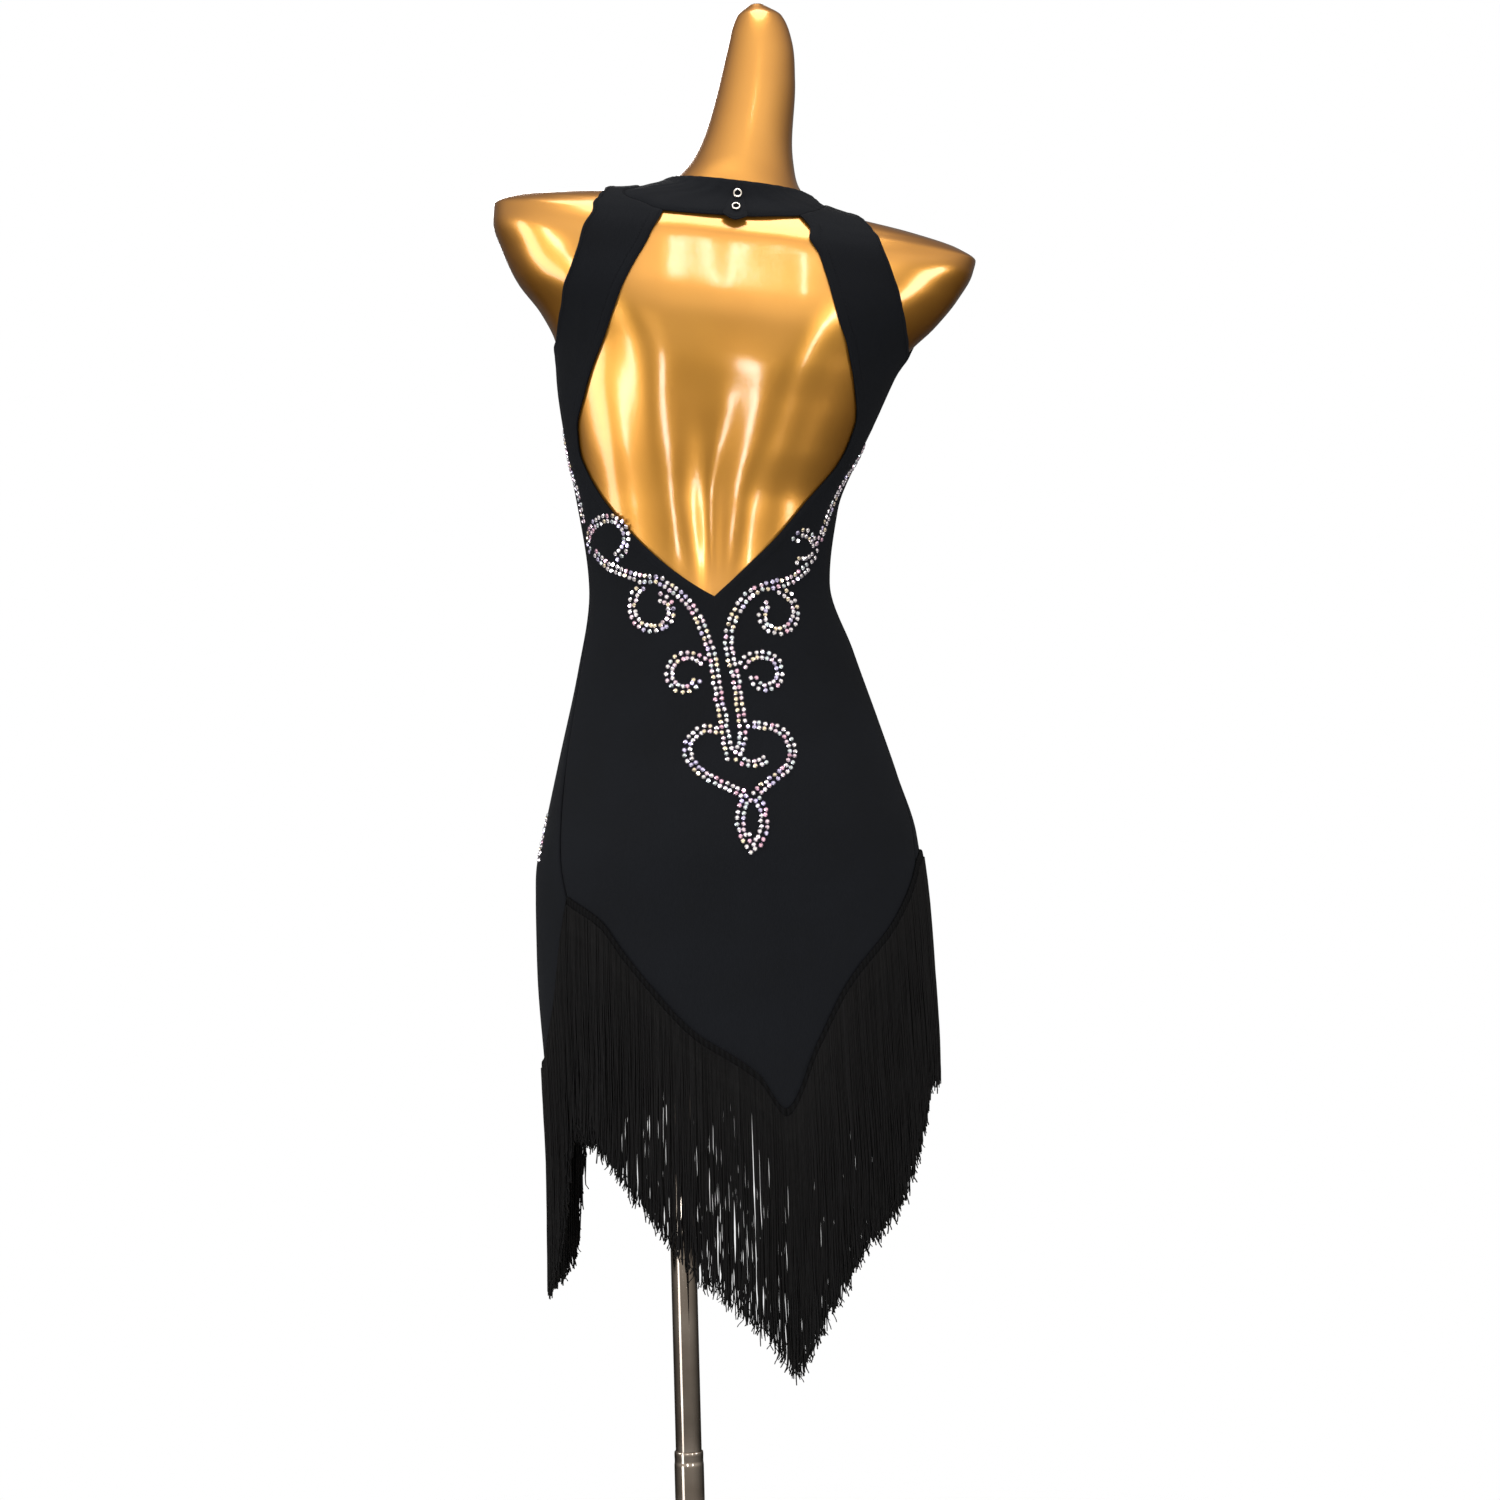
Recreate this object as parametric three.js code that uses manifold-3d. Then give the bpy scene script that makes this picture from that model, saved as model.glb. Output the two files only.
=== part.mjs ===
// Backless latin dance dress with a slanting fringed hem, on a limbless dress form and its stand.
// Millimetres and degrees, +Z up. The origin is the middle of the stand's foot, on the floor.
// The garment's front faces -Y and the wearer's left is +X. Angles run from +X towards +Y, so the
// centre back is near 90 and the centre front near -90.
import * as THREE from "three";
import Module from "manifold-3d";
import { mergeVertices } from "three/addons/utils/BufferGeometryUtils.js";

const wasm = await Module();
wasm.setup();

// ---- driving sizes ----
const CLOTH = 1.4; // jersey folded over at its edges
const EASE = 1.8; // air between the form and the cloth
const SEAM = 0.4; // gap between two pieces that are sewn together
const TAPE = { thick: 2.2, above: 7.5, below: 1.5, clear: 0.8 }; // woven header of the fringe
const FRINGE = { root: 1.02, tip: 0.8, sides: 3 };
const STRANDS = { backLeft: 58, backRight: 58, frontTail: 34, frontRight: 74 };
const TAB = { half: 7.3, point: 5, thick: 1.4, clear: 1.1 }; // closing tab at the centre back
// The gap under a ring's middle is wider where the tab is hollow.
const RING = { radius: 3.2, wire: 0.8, spacing: 18.5, overHollow: 1.1, overFlat: 0.4 };
const TUBE = { upper: 23.4, lower: 26.6, wall: 1.5, slip: 0.4, plug: 110 };
const JOINT = { height: 262, taper: 9 }; // where the lower tube's necked mouth grips the upper one
const FOOT = { radius: 170, thick: 6, edge: 2, collar: 22, collarTop: 44 };
const FLANGE = { radius: 38, thick: 5, sleeve: 17, sleeveLength: 42 };

/** Rows of numbers as an object of named columns. */
function table(names, rows) {
  const columns = names.map((name, i) => [name, rows.map((row) => row[i])]);
  return Object.fromEntries(columns);
}

// Level slices of the dress form from its flat bottom to the tip of its neck. across and depth are
// the slice's middle, half its half width, front and back its reach forwards and backwards, square
// how boxy its outline is (2 is an ellipse), tilt how far its left side is raised and turn its twist.
const SLICE_NAMES = ["height", "across", "depth", "half", "front", "back", "square", "tilt", "turn"];
const FORM = table(SLICE_NAMES, [
  [700, -52, 8, 150, 86, 92, 2.3, 0.0, 6],
  [725, -51, 8, 165, 95, 106, 2.3, -3.0, 6],
  [755, -50, 8, 170, 100, 116, 2.25, -5.0, 6],
  [805, -48, 7, 169, 102, 121, 2.2, -5.0, 6],
  [860, -46, 5, 155, 100, 110, 2.2, -5.0, 5],
  [910, -45, 3, 141, 96, 94, 2.15, -4.0, 4],
  [980, -43, 0, 121, 88, 80, 2.1, -2.5, 2],
  [1048, -39, -2, 105, 82, 76, 2.1, 0.0, 0],
  [1120, -39, 0, 114, 88, 84, 2.1, 3.0, 0],
  [1170, -44, 3, 128, 94, 93, 2.15, 5.0, 0],
  [1210, -50, 5, 140, 97, 99, 2.2, 6.5, 0],
  [1250, -57, 8, 151, 97, 102, 2.25, 7.5, 0],
  [1275, -59, 10, 166, 96, 102, 2.3, 7.5, 0],
  [1299, -61, 12, 188, 93, 100, 2.4, 7.5, 0],
  [1325, -65, 14, 205, 86, 95, 2.5, 7.5, 0],
  [1350, -68, 16, 216, 75, 88, 2.6, 7.7, 0],
  [1362, -70, 17, 217, 67, 80, 2.6, 8.2, 0],
  [1370.5, -71, 18, 203, 60, 72, 2.5, 8.4, 0],
  [1378.5, -72, 19, 165, 53, 64, 2.4, 8.4, 0],
  [1385.3, -73, 20, 110, 49, 58, 2.3, 8.4, 0],
  [1394, -74, 21, 72, 47, 54, 2.2, 8.4, 0],
  [1406, -75, 21, 56, 44, 50, 2.1, 8.2, 0],
  [1426, -80, 21, 45, 39, 43, 2.0, 8.0, 0],
  [1449, -85, 20, 39, 34, 38, 2.0, 9.0, 0],
  [1503, -95, 18, 33, 27, 30, 2.0, 8.0, 0],
  [1535, -98, 17, 28, 22, 24, 2.0, 5.0, 0],
  [1557, -97, 16, 20, 15, 16, 2.0, 0.0, 0],
  [1567, -95, 16, 6, 5, 5, 2.0, 0.0, 0],
]);

// Below the hips the skirt hangs clear of the form, on its own slices.
const HANG = table(SLICE_NAMES, [
  [330, -57, 6, 175, 112, 148, 2.2, -5.0, 6],
  [540, -57, 6, 172, 108, 140, 2.2, -5.0, 6],
  [620, -56, 6, 173, 108, 132, 2.2, -5.0, 6],
  [700, -53, 7, 173, 106, 126, 2.2, -5.0, 6],
  [755, -51, 7, 172, 106, 123, 2.2, -5.0, 6],
]);

// Soft modelling on the slices: a mound (or a hollow, where out is negative) fades as a bell curve
// over high millimetres up and down and wide degrees to each side.
const MOUNDS = [
  { height: 1226, angle: -60, out: 15, high: 58, wide: 33 }, // bust
  { height: 1226, angle: -120, out: 15, high: 58, wide: 33 },
  { height: 1180, angle: 91, out: -8, high: 95, wide: 17 }, // hollow of the back
  { height: 1285, angle: 58, out: 5, high: 48, wide: 20 }, // shoulder blades
  { height: 1285, angle: 124, out: 5, high: 48, wide: 20 },
];

// Side seams, which swing to the back over the hips.
const SIDE_SEAMS = table(
  ["height", "left", "right"],
  [
    [780, 32.5, 159],
    [820, 27, 163],
    [860, 21, 168],
    [910, 16, 170],
    [960, 12.5, 171.5],
    [1036, 8.5, 174],
    [1112, 4.5, 176],
    [1200, 2.5, 177.5],
    [1275, 1.5, 178.5],
  ],
);
const CENTRE_BACK = table(
  ["height", "angle"],
  [
    [578, 96.5],
    [806, 93.5],
    [1036, 92],
  ],
);

// The collar band's lower edge, round the neck.
const COLLAR_LOW = table(
  ["angle", "height"],
  [
    [-180, 1393],
    [-165, 1392],
    [-150, 1389.5],
    [-135, 1385.5],
    [-120, 1381],
    [-90, 1374],
    [-60, 1378.5],
    [-45, 1382.5],
    [-30, 1386.5],
    [-15, 1389],
    [0, 1390],
    [15, 1389],
    [30, 1387.5],
    [45, 1384],
    [57.4, 1378.5],
    [64.5, 1373.7],
    [72, 1369.2],
    [78.4, 1364.3],
    [84, 1365],
    [90, 1367],
    [97.6, 1371.9],
    [103.2, 1374.7],
    [109, 1378.8],
    [121, 1383],
    [137, 1387],
    [150, 1389.5],
    [165, 1392],
    [180, 1393],
  ],
);
const COLLAR_TOP = 1400.5;
const COLLAR_MEETS = 90; // centre back, under the tab

// The back above the waist, a row for each line across a strap, from the shoulder down to the point
// of the V: the armhole or side edge first, then the collar's seam and, from its corner on, the edge
// of the open back.
const STRAP_NAMES = ["armHeight", "armAngle", "openHeight", "openAngle"];
const STRAP_LEFT = table(STRAP_NAMES, [
  [1384.2, 0.09, 1390, 0.09],
  [1383.4, 20, 1389, 20],
  [1382, 36, 1386, 38],
  [1377.5, 51, 1379.7, 55],
  [1368.3, 59.6, 1371.6, 68],
  [1358.5, 61.2, 1364.3, 78.4],
  [1345, 58.9, 1342, 76],
  [1327, 55.4, 1322, 72],
  [1307, 50.2, 1299, 66.8],
  [1287, 40.3, 1268, 56.4],
  [1269, 28.3, 1235, 44.4],
  [1252, 15, 1204, 35.2],
  [1238, 2, 1178, 26],
  [1200, 2.5, 1160, 24.5],
  [1165, 3, 1142, 29.5],
  [1130, 4, 1126, 36],
  [1110, 4.6, 1108, 45],
  [1085, 6, 1084, 58.5],
  [1060, 7.3, 1060, 74],
  [1036, 8.5, 1036, 92],
]);
const STRAP_RIGHT = table(STRAP_NAMES, [
  [1385.8, 179.91, 1393, 179.91],
  [1385.5, 163, 1391.8, 163],
  [1383.3, 147, 1388.6, 145],
  [1379.5, 131.5, 1385, 128],
  [1372.8, 122.6, 1380.5, 113],
  [1364.5, 119.8, 1374.7, 103.2],
  [1351.5, 121.7, 1357, 102.4],
  [1336.5, 125.8, 1339, 105.9],
  [1320, 131.8, 1316, 110.9],
  [1303, 139.7, 1292, 117.4],
  [1289, 150.2, 1264, 129],
  [1277, 164.5, 1230, 142.6],
  [1265, 178.3, 1198, 153.5],
  [1225, 177.8, 1178, 155],
  [1190, 177.3, 1160, 152.5],
  [1155, 176.8, 1142, 146.5],
  [1120, 176.2, 1118, 136],
  [1090, 175.5, 1088, 122],
  [1062, 174.8, 1062, 107.5],
  [1036, 174, 1036, 92],
]);

const CORNER = 5; // the strap row that reaches the corner of the collar and the open back

// The front above the underarms: the left and right edges of each line across, and its middle.
const BODICE = table(
  ["leftHeight", "leftAngle", "rightHeight", "rightAngle", "midHeight"],
  [
    [1384.2, -0.09, 1385.8, -179.91, 1367.5],
    [1377.5, -33, 1379.5, -147, 1362],
    [1370.2, -48, 1372, -132, 1355],
    [1357, -55.5, 1361, -125, 1343],
    [1327, -51.5, 1339, -130, 1319],
    [1300, -40, 1318, -140, 1296],
    [1275, -26, 1300, -152, 1274],
    [1252, -11, 1281, -167, 1256],
  ],
);
const BODICE_LINES = 12;
const WAIST_DOWN = [1000, 965, 930, 895, 860]; // level lines from the waist to the hips
const HEM_LINES = { back: 6, front: 5 }; // lines between the hips and the hem
const HEM_CROWD = 1.3; // how much closer they lie near the hips

// Hems, by angle. The back falls to a point; the front has a short tail at the wearer's left.
const BACK_HEM = table(
  ["angle", "height"],
  [
    [32.5, 780],
    [47, 756],
    [54, 730],
    [60.5, 706],
    [74, 656],
    [89.5, 614],
    [96.5, 578],
    [106.5, 632],
    [117.5, 680],
    [137.5, 726],
    [159, 776],
  ],
);
const FRONT_HEM = table(
  ["angle", "height"],
  [
    [-201, 776],
    [-190, 783],
    [-165, 782],
    [-130, 775],
    [-90, 768],
    [-60, 762],
    [-48, 752],
    [-43, 690],
    [-37, 645],
    [-25, 633],
    [-10, 632],
    [6, 638],
    [13, 656],
    [22, 694],
    [28, 748],
    [32.5, 780],
  ],
);
// How long the fringe hangs: longest on the slope to the right of the back's point.
const BACK_FRINGE = table(
  ["angle", "length"],
  [
    [32.5, 205],
    [60, 204],
    [80, 216],
    [94, 226],
    [99, 225],
    [108, 232],
    [128, 234],
    [140, 218],
    [148, 200],
    [159, 184],
  ],
);
const FRONT_FRINGE = table(
  ["angle", "length"],
  [
    [-201, 200],
    [-60, 196],
    [-30, 202],
    [32.5, 205],
  ],
);
const BACK_POINT = 96.5; // where the back's hem comes to its point
const TAIL_EDGE = -48; // the tail's inner edge, where the two lengths of front fringe meet
const BACK_COLUMNS = 11;
const FRONT_EVEN_COLUMNS = 15;
const TAIL_COLUMNS = [-48, -45, -41, -37, -29, -18, -6, 5, 12, 18, 23, 28];

const rad = THREE.MathUtils.degToRad;
const lerp = THREE.MathUtils.lerp;

// ---- smooth curves through the tables ----

/** A curve through rising points that never overshoots them (monotone cubic). */
function smooth(at, values) {
  const step = at.slice(1).map((x, i) => x - at[i]);
  const rise = step.map((s, i) => (values[i + 1] - values[i]) / s);
  const slope = values.map((_, i) => {
    if (i === 0) return rise[0];
    if (i === rise.length) return rise[i - 1];
    if (rise[i - 1] * rise[i] <= 0) return 0;
    const before = 2 * step[i] + step[i - 1];
    const after = step[i] + 2 * step[i - 1];
    return (before + after) / (before / rise[i - 1] + after / rise[i]);
  });
  return (x) => {
    const inside = THREE.MathUtils.clamp(x, at[0], at[at.length - 1]);
    const next = at.findIndex((a) => a > inside);
    const i = next < 0 ? step.length - 1 : next - 1;
    const t = (inside - at[i]) / step[i];
    const u = 1 - t;
    return (
      (1 + 2 * t) * u * u * values[i] +
      t * u * u * step[i] * slope[i] +
      t * t * (3 - 2 * t) * values[i + 1] -
      t * t * u * step[i] * slope[i + 1]
    );
  };
}

/** One smooth curve for each column of a table, over its first column. */
function curves(rows) {
  const [first, ...others] = Object.keys(rows);
  return Object.fromEntries(others.map((name) => [name, smooth(rows[first], rows[name])]));
}

const seamAt = curves(SIDE_SEAMS);
const centreAt = curves(CENTRE_BACK).angle;
const collarLow = curves(COLLAR_LOW).height;
const backHem = curves(BACK_HEM).height;
const frontHem = curves(FRONT_HEM).height;
const backLength = curves(BACK_FRINGE).length;
const frontLength = curves(FRONT_FRINGE).length;

// ---- the figure's surface ----

/** How far the mounds stand out at a height and angle. */
function relief(height, angle) {
  const bell = (x) => Math.exp(-x * x);
  return MOUNDS.reduce((sum, mound) => {
    const turned = THREE.MathUtils.euclideanModulo(angle - mound.angle + 180, 360) - 180;
    return sum + mound.out * bell((height - mound.height) / mound.high) * bell(turned / mound.wide);
  }, 0);
}

/** A surface through slices: a point by height and angle, moved out along the surface's normal. */
function surface(slices) {
  const at = curves(slices);
  const skin = (height, angle) => {
    const cos = Math.cos(rad(angle));
    const sin = Math.sin(rad(angle));
    const power = 2 / at.square(height);
    const reach = sin > 0 ? at.back(height) : at.front(height);
    const x = at.half(height) * Math.sign(cos) * Math.abs(cos) ** power;
    const y = reach * Math.sign(sin) * Math.abs(sin) ** power;
    const grow = 1 + relief(height, angle) / Math.max(Math.hypot(x, y), 1);
    const turned = new THREE.Vector2(x, y).multiplyScalar(grow).rotateAround(NO_SHIFT, rad(at.turn(height)));
    const tilt = rad(at.tilt(height));
    return new THREE.Vector3(
      at.across(height) + turned.x * Math.cos(tilt),
      at.depth(height) + turned.y,
      height + turned.x * Math.sin(tilt),
    );
  };
  const normal = (height, angle) => {
    const round = skin(height, angle + 0.1).sub(skin(height, angle - 0.1));
    const up = skin(height + 0.4, angle).sub(skin(height - 0.4, angle));
    return round.cross(up).normalize();
  };
  return (height, angle, out = 0) =>
    out === 0 ? skin(height, angle) : skin(height, angle).addScaledVector(normal(height, angle), out);
}
const NO_SHIFT = new THREE.Vector2(0, 0);

const onForm = surface(FORM);
const GOWN_FROM = FORM.height.findIndex((height) => height >= 805);
const onGown = surface(
  Object.fromEntries(SLICE_NAMES.map((name) => [name, [...HANG[name], ...FORM[name].slice(GOWN_FROM)]])),
);

/** The height a given distance further up the cloth, and the angle a given distance round it. */
function heightUp({ height, angle }, distance) {
  const perMillimetre = onGown(height + 0.5, angle).distanceTo(onGown(height - 0.5, angle));
  return { height: height + distance / perMillimetre, angle };
}
function angleRound({ height, angle }, distance) {
  const perDegree = onGown(height, angle + 0.5).distanceTo(onGown(height, angle - 0.5));
  return { height, angle: angle + distance / perDegree };
}

// ---- closed meshes ----

/** Indexed triangles as a geometry, turned to face outwards. */
function closed(points, faces) {
  const volume = faces.reduce((sum, [a, b, c]) => {
    const across = new THREE.Vector3().crossVectors(points[b], points[c]);
    return sum + points[a].dot(across);
  }, 0);
  const facing = volume < 0 ? faces.map(([a, b, c]) => [a, c, b]) : faces;
  const geometry = new THREE.BufferGeometry().setFromPoints(points);
  geometry.setIndex(facing.flat());
  return geometry;
}

/** A wall over grids of places on the cloth; grids that share places join there. */
function clothWall(grids, inner = EASE, outer = EASE + CLOTH) {
  const places = [];
  const indexOf = new Map();
  const cells = [];
  const index = (place) => {
    const key = place.height.toFixed(3) + " " + place.angle.toFixed(3);
    if (!indexOf.has(key)) indexOf.set(key, places.push(place) - 1);
    return indexOf.get(key);
  };
  for (const grid of grids) {
    const ids = grid.map((row) => row.map(index));
    for (let j = 0; j + 1 < ids.length; j++) {
      for (let i = 0; i + 1 < ids[j].length; i++) {
        cells.push([ids[j][i], ids[j][i + 1], ids[j + 1][i + 1], ids[j + 1][i]]);
      }
    }
  }
  const under = places.length;
  const points = [outer, inner].flatMap((out) => places.map((p) => onGown(p.height, p.angle, out)));
  const faces = cells.flatMap(([a, b, c, d]) => [
    [a, b, c],
    [a, c, d],
    [c + under, b + under, a + under],
    [d + under, c + under, a + under],
  ]);
  const sides = new Set(cells.flatMap((cell) => cell.map((a, i) => a + ">" + cell[(i + 1) % 4])));
  for (const side of sides) {
    const [a, b] = side.split(">").map(Number);
    if (sides.has(b + ">" + a)) continue;
    faces.push([b, a, a + under], [b, a + under, b + under]);
  }
  return closed(points, faces);
}

/** A closed skin over rings of equal length, with flat ends. */
function ringSolid(rings) {
  const count = rings[0].length;
  const top = (rings.length - 1) * count;
  const faces = [];
  for (let i = 2; i < count; i++) faces.push([0, i, i - 1], [top, top + i - 1, top + i]);
  for (let low = 0; low < top; low += count) {
    for (let i = 0; i < count; i++) {
      const next = (i + 1) % count;
      const high = low + count;
      faces.push([low + i, low + next, high + next], [low + i, high + next, high + i]);
    }
  }
  return closed(rings.flat(), faces);
}

/** A geometry as a manifold-3d solid, and back. */
function solid(geometry) {
  const bare = geometry.clone();
  bare.deleteAttribute("normal");
  bare.deleteAttribute("uv");
  const merged = mergeVertices(bare, 1e-4);
  return new wasm.Manifold(
    new wasm.Mesh({
      numProp: 3,
      vertProperties: new Float32Array(merged.attributes.position.array),
      triVerts: new Uint32Array(merged.index.array),
    }),
  );
}
function geometryOf(manifold) {
  const mesh = manifold.getMesh();
  const geometry = new THREE.BufferGeometry();
  geometry.setAttribute("position", new THREE.BufferAttribute(new Float32Array(mesh.vertProperties), 3));
  geometry.setIndex(new THREE.BufferAttribute(new Uint32Array(mesh.triVerts), 1));
  return geometry;
}

// ---- materials ----
const jersey = () => new THREE.MeshStandardMaterial({ color: 0x191b1e, roughness: 0.75 });
const rayon = () => new THREE.MeshStandardMaterial({ color: 0x1c1a1a, roughness: 0.6 });
const goldPaint = () => new THREE.MeshStandardMaterial({ color: 0xc88c3c, roughness: 0.25, metalness: 0.4 });
const chrome = () => new THREE.MeshStandardMaterial({ color: 0xa8a29c, roughness: 0.2, metalness: 1 });

const model = new THREE.Group();
function add(name, geometry, material) {
  const mesh = new THREE.Mesh(geometry, material);
  mesh.name = name;
  model.add(mesh);
  return mesh;
}

// ---- dress form ----
const FORM_ROWS = [
  700, 712, 726, 745, 772, 805, 835, 865, 895, 925, 955, 985, 1016, 1048, 1080, 1110, 1140, 1168, 1194,
  1218, 1240, 1256, 1271, 1287, 1303, 1321, 1337, 1349, 1358, 1364.5, 1370, 1375, 1379, 1382.5, 1386, 1391,
  1398, 1409, 1424, 1450, 1478, 1503, 1522, 1537, 1549, 1558, 1564, 1567,
];
const FORM_SIDES = 32;

function dressForm() {
  const angles = Array.from({ length: FORM_SIDES }, (_, i) => (i * 360) / FORM_SIDES);
  return ringSolid(FORM_ROWS.map((height) => angles.map((angle) => onForm(height, angle))));
}
add("form_torso", dressForm(), goldPaint());

// ---- garment panels: grids of places, each row running the way the angle grows ----
const backFraction = Array.from({ length: BACK_COLUMNS + 1 }, (_, i) => i / BACK_COLUMNS);
const frontAngles = [
  ...Array.from({ length: FRONT_EVEN_COLUMNS }, (_, i) => lerp(-201, TAIL_EDGE, i / FRONT_EVEN_COLUMNS)),
  ...TAIL_COLUMNS,
  32.5,
];
const frontFraction = frontAngles.map((angle) => (angle + 201) / 233.5);

const between = (from, to, fraction) => ({
  height: lerp(from.height, to.height, fraction),
  angle: lerp(from.angle, to.angle, fraction),
});
const underCollar = (angle) => heightUp({ height: collarLow(angle), angle }, -SEAM);

/** Lines from the hips down to a hem: straight between each column's two ends. */
function downToHem(hipRow, hemRow, lines) {
  return Array.from({ length: lines }, (_, k) => {
    const share = ((k + 1) / lines) ** HEM_CROWD;
    return hipRow.map((place, i) => between(place, hemRow[i], share));
  });
}

/** Half of the back, from its shoulder to the hem; its rows start at the side with the lower angle. */
function backHalf(strap, side) {
  const isLeft = side === "left";
  const inwards = isLeft ? SEAM / 2 : -SEAM / 2;
  const line = (outer, inner) => {
    const row = backFraction.map((fraction) => between(outer, inner, fraction));
    return isLeft ? row : row.reverse();
  };
  const seamEdge = (height) => angleRound({ height, angle: seamAt[side](height) }, inwards);
  const rows = strap.armHeight.map((armHeight, k) => {
    const outer = { height: armHeight, angle: strap.armAngle[k] };
    const inner = { height: strap.openHeight[k], angle: strap.openAngle[k] };
    return line(outer, k <= CORNER ? underCollar(inner.angle) : inner);
  });
  for (const height of WAIST_DOWN) rows.push(line(seamEdge(height), { height, angle: centreAt(height) }));
  const hemSide = angleRound({ height: backHem(SIDE_SEAMS[side][0]), angle: SIDE_SEAMS[side][0] }, inwards);
  const hemAngles = line(hemSide, { height: 0, angle: BACK_POINT }).map(({ angle }) => angle);
  const hemRow = hemAngles.map((angle) => ({ height: backHem(angle), angle }));
  return { rows: [...rows, ...downToHem(rows[rows.length - 1], hemRow, HEM_LINES.back)], hemRow };
}
const backLeft = backHalf(STRAP_LEFT, "left");
const backRight = backHalf(STRAP_RIGHT, "right");
add("back_panel", clothWall([backLeft.rows, backRight.rows]), jersey());

/** The whole front, from the collar to the hem, its rows running from the right seam to the left. */
function front() {
  const drop = ({ height, angle }) => collarLow(angle < -180 ? angle + 360 : angle) - height;
  const bow = (from, middle, to) =>
    frontFraction.map((u) => {
      const angle = lerp(from.angle, to.angle, u);
      const ends = drop(from) * (1 - u) * (1 - 2 * u) + drop(to) * u * (2 * u - 1);
      const below = ends + 4 * drop(middle) * u * (1 - u);
      return { height: collarLow(angle) - below, angle };
    });
  const shoulder = frontFraction.map((u) => underCollar(lerp(BODICE.rightAngle[0], BODICE.leftAngle[0], u)));
  const along = curves({ row: BODICE.midHeight.map((_, k) => k), ...BODICE });
  const bodice = Array.from({ length: BODICE_LINES }, (_, k) => {
    const row = (k * (BODICE.midHeight.length - 1)) / (BODICE_LINES - 1);
    return bow(
      { height: along.rightHeight(row), angle: along.rightAngle(row) },
      { height: along.midHeight(row), angle: -90 },
      { height: along.leftHeight(row), angle: along.leftAngle(row) },
    );
  });
  const underarm = STRAP_LEFT.armAngle.findIndex((angle, k) => k > 9 && angle < 5);
  const seamHeights = STRAP_LEFT.armHeight.map((height, k) => [height, STRAP_RIGHT.armHeight[k]]);
  const sideRows = [...seamHeights.slice(underarm), ...WAIST_DOWN.map((height) => [height, height])];
  const strapAngle = (strap, height, fallback) => {
    const row = strap.armHeight.indexOf(height);
    return row < 0 ? fallback : strap.armAngle[row];
  };
  const lines = sideRows.map(([left, right]) => {
    const leftAngle = strapAngle(STRAP_LEFT, left, seamAt.left(left));
    const rightAngle = strapAngle(STRAP_RIGHT, right, seamAt.right(right)) - 360;
    const from = angleRound({ height: right, angle: rightAngle }, SEAM / 2);
    const to = angleRound({ height: left, angle: leftAngle }, -SEAM);
    return frontFraction.map((u) => between(from, to, u));
  });
  const hemEnds = [
    angleRound({ height: frontHem(-201), angle: -201 }, SEAM / 2),
    angleRound({ height: frontHem(32.5), angle: 32.5 }, -SEAM / 2),
  ];
  const hemRow = frontFraction.map((u) => {
    const angle = lerp(hemEnds[0].angle, hemEnds[1].angle, u);
    return { height: frontHem(angle), angle };
  });
  const skirt = downToHem(lines[lines.length - 1], hemRow, HEM_LINES.front);
  return { rows: [shoulder, ...bodice, ...lines, ...skirt], hemRow };
}
const frontPanel = front();
add("front_panel", clothWall([frontPanel.rows]), jersey());

// ---- collar band, its closing tab and two rings ----
function collarBand() {
  const leftTop = STRAP_LEFT.openAngle.slice(0, CORNER + 1);
  const rightTop = STRAP_RIGHT.openAngle.slice(0, CORNER + 1).map((angle) => angle - 360);
  const frontTop = frontPanel.rows[0].map(({ angle }) => angle);
  const meet = angleRound({ height: COLLAR_TOP, angle: COLLAR_MEETS }, SEAM).angle - COLLAR_MEETS;
  const overGap = [0.25, 0.5, 0.75];
  const angles = [
    COLLAR_MEETS + meet - 360,
    ...overGap.map((share) => lerp(COLLAR_MEETS, STRAP_RIGHT.openAngle[CORNER], share) - 360),
    ...rightTop.reverse(),
    ...frontTop,
    ...leftTop,
    ...overGap.map((share) => lerp(STRAP_LEFT.openAngle[CORNER], COLLAR_MEETS, share)),
    COLLAR_MEETS - meet,
  ];
  const wrapped = (angle) => (angle < -180 ? angle + 360 : angle);
  const upTo = [0, 0.5, 1];
  const rows = upTo.map((share) =>
    angles.map((angle) => ({ height: lerp(collarLow(wrapped(angle)), COLLAR_TOP, share), angle })),
  );
  return clothWall([rows]);
}
add("collar_band", collarBand(), jersey());

const TAB_FROM = EASE + CLOTH + TAB.clear;
const TAB_MIDDLE = 1379;
const TAB_HEIGHT = 18.5; // half its height at the sides, before the points
/** The tab: a short strip across the collar's ends, pointed at its top and bottom. */
function closingTab() {
  const across = [-1, -0.5, 0, 0.5, 1];
  const centre = { height: TAB_MIDDLE, angle: COLLAR_MEETS };
  const rows = [-1, -0.5, 0, 0.5, 1].map((up) =>
    across.map((side) => {
      const reach = TAB_HEIGHT + TAB.point * (1 - Math.abs(side));
      return heightUp(angleRound(centre, side * TAB.half), up * reach);
    }),
  );
  return clothWall([rows], TAB_FROM, TAB_FROM + TAB.thick);
}
add("collar_tab", closingTab(), jersey());

const RING_TURNS = 14;
const WIRE_SIDES = 6;
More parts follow.
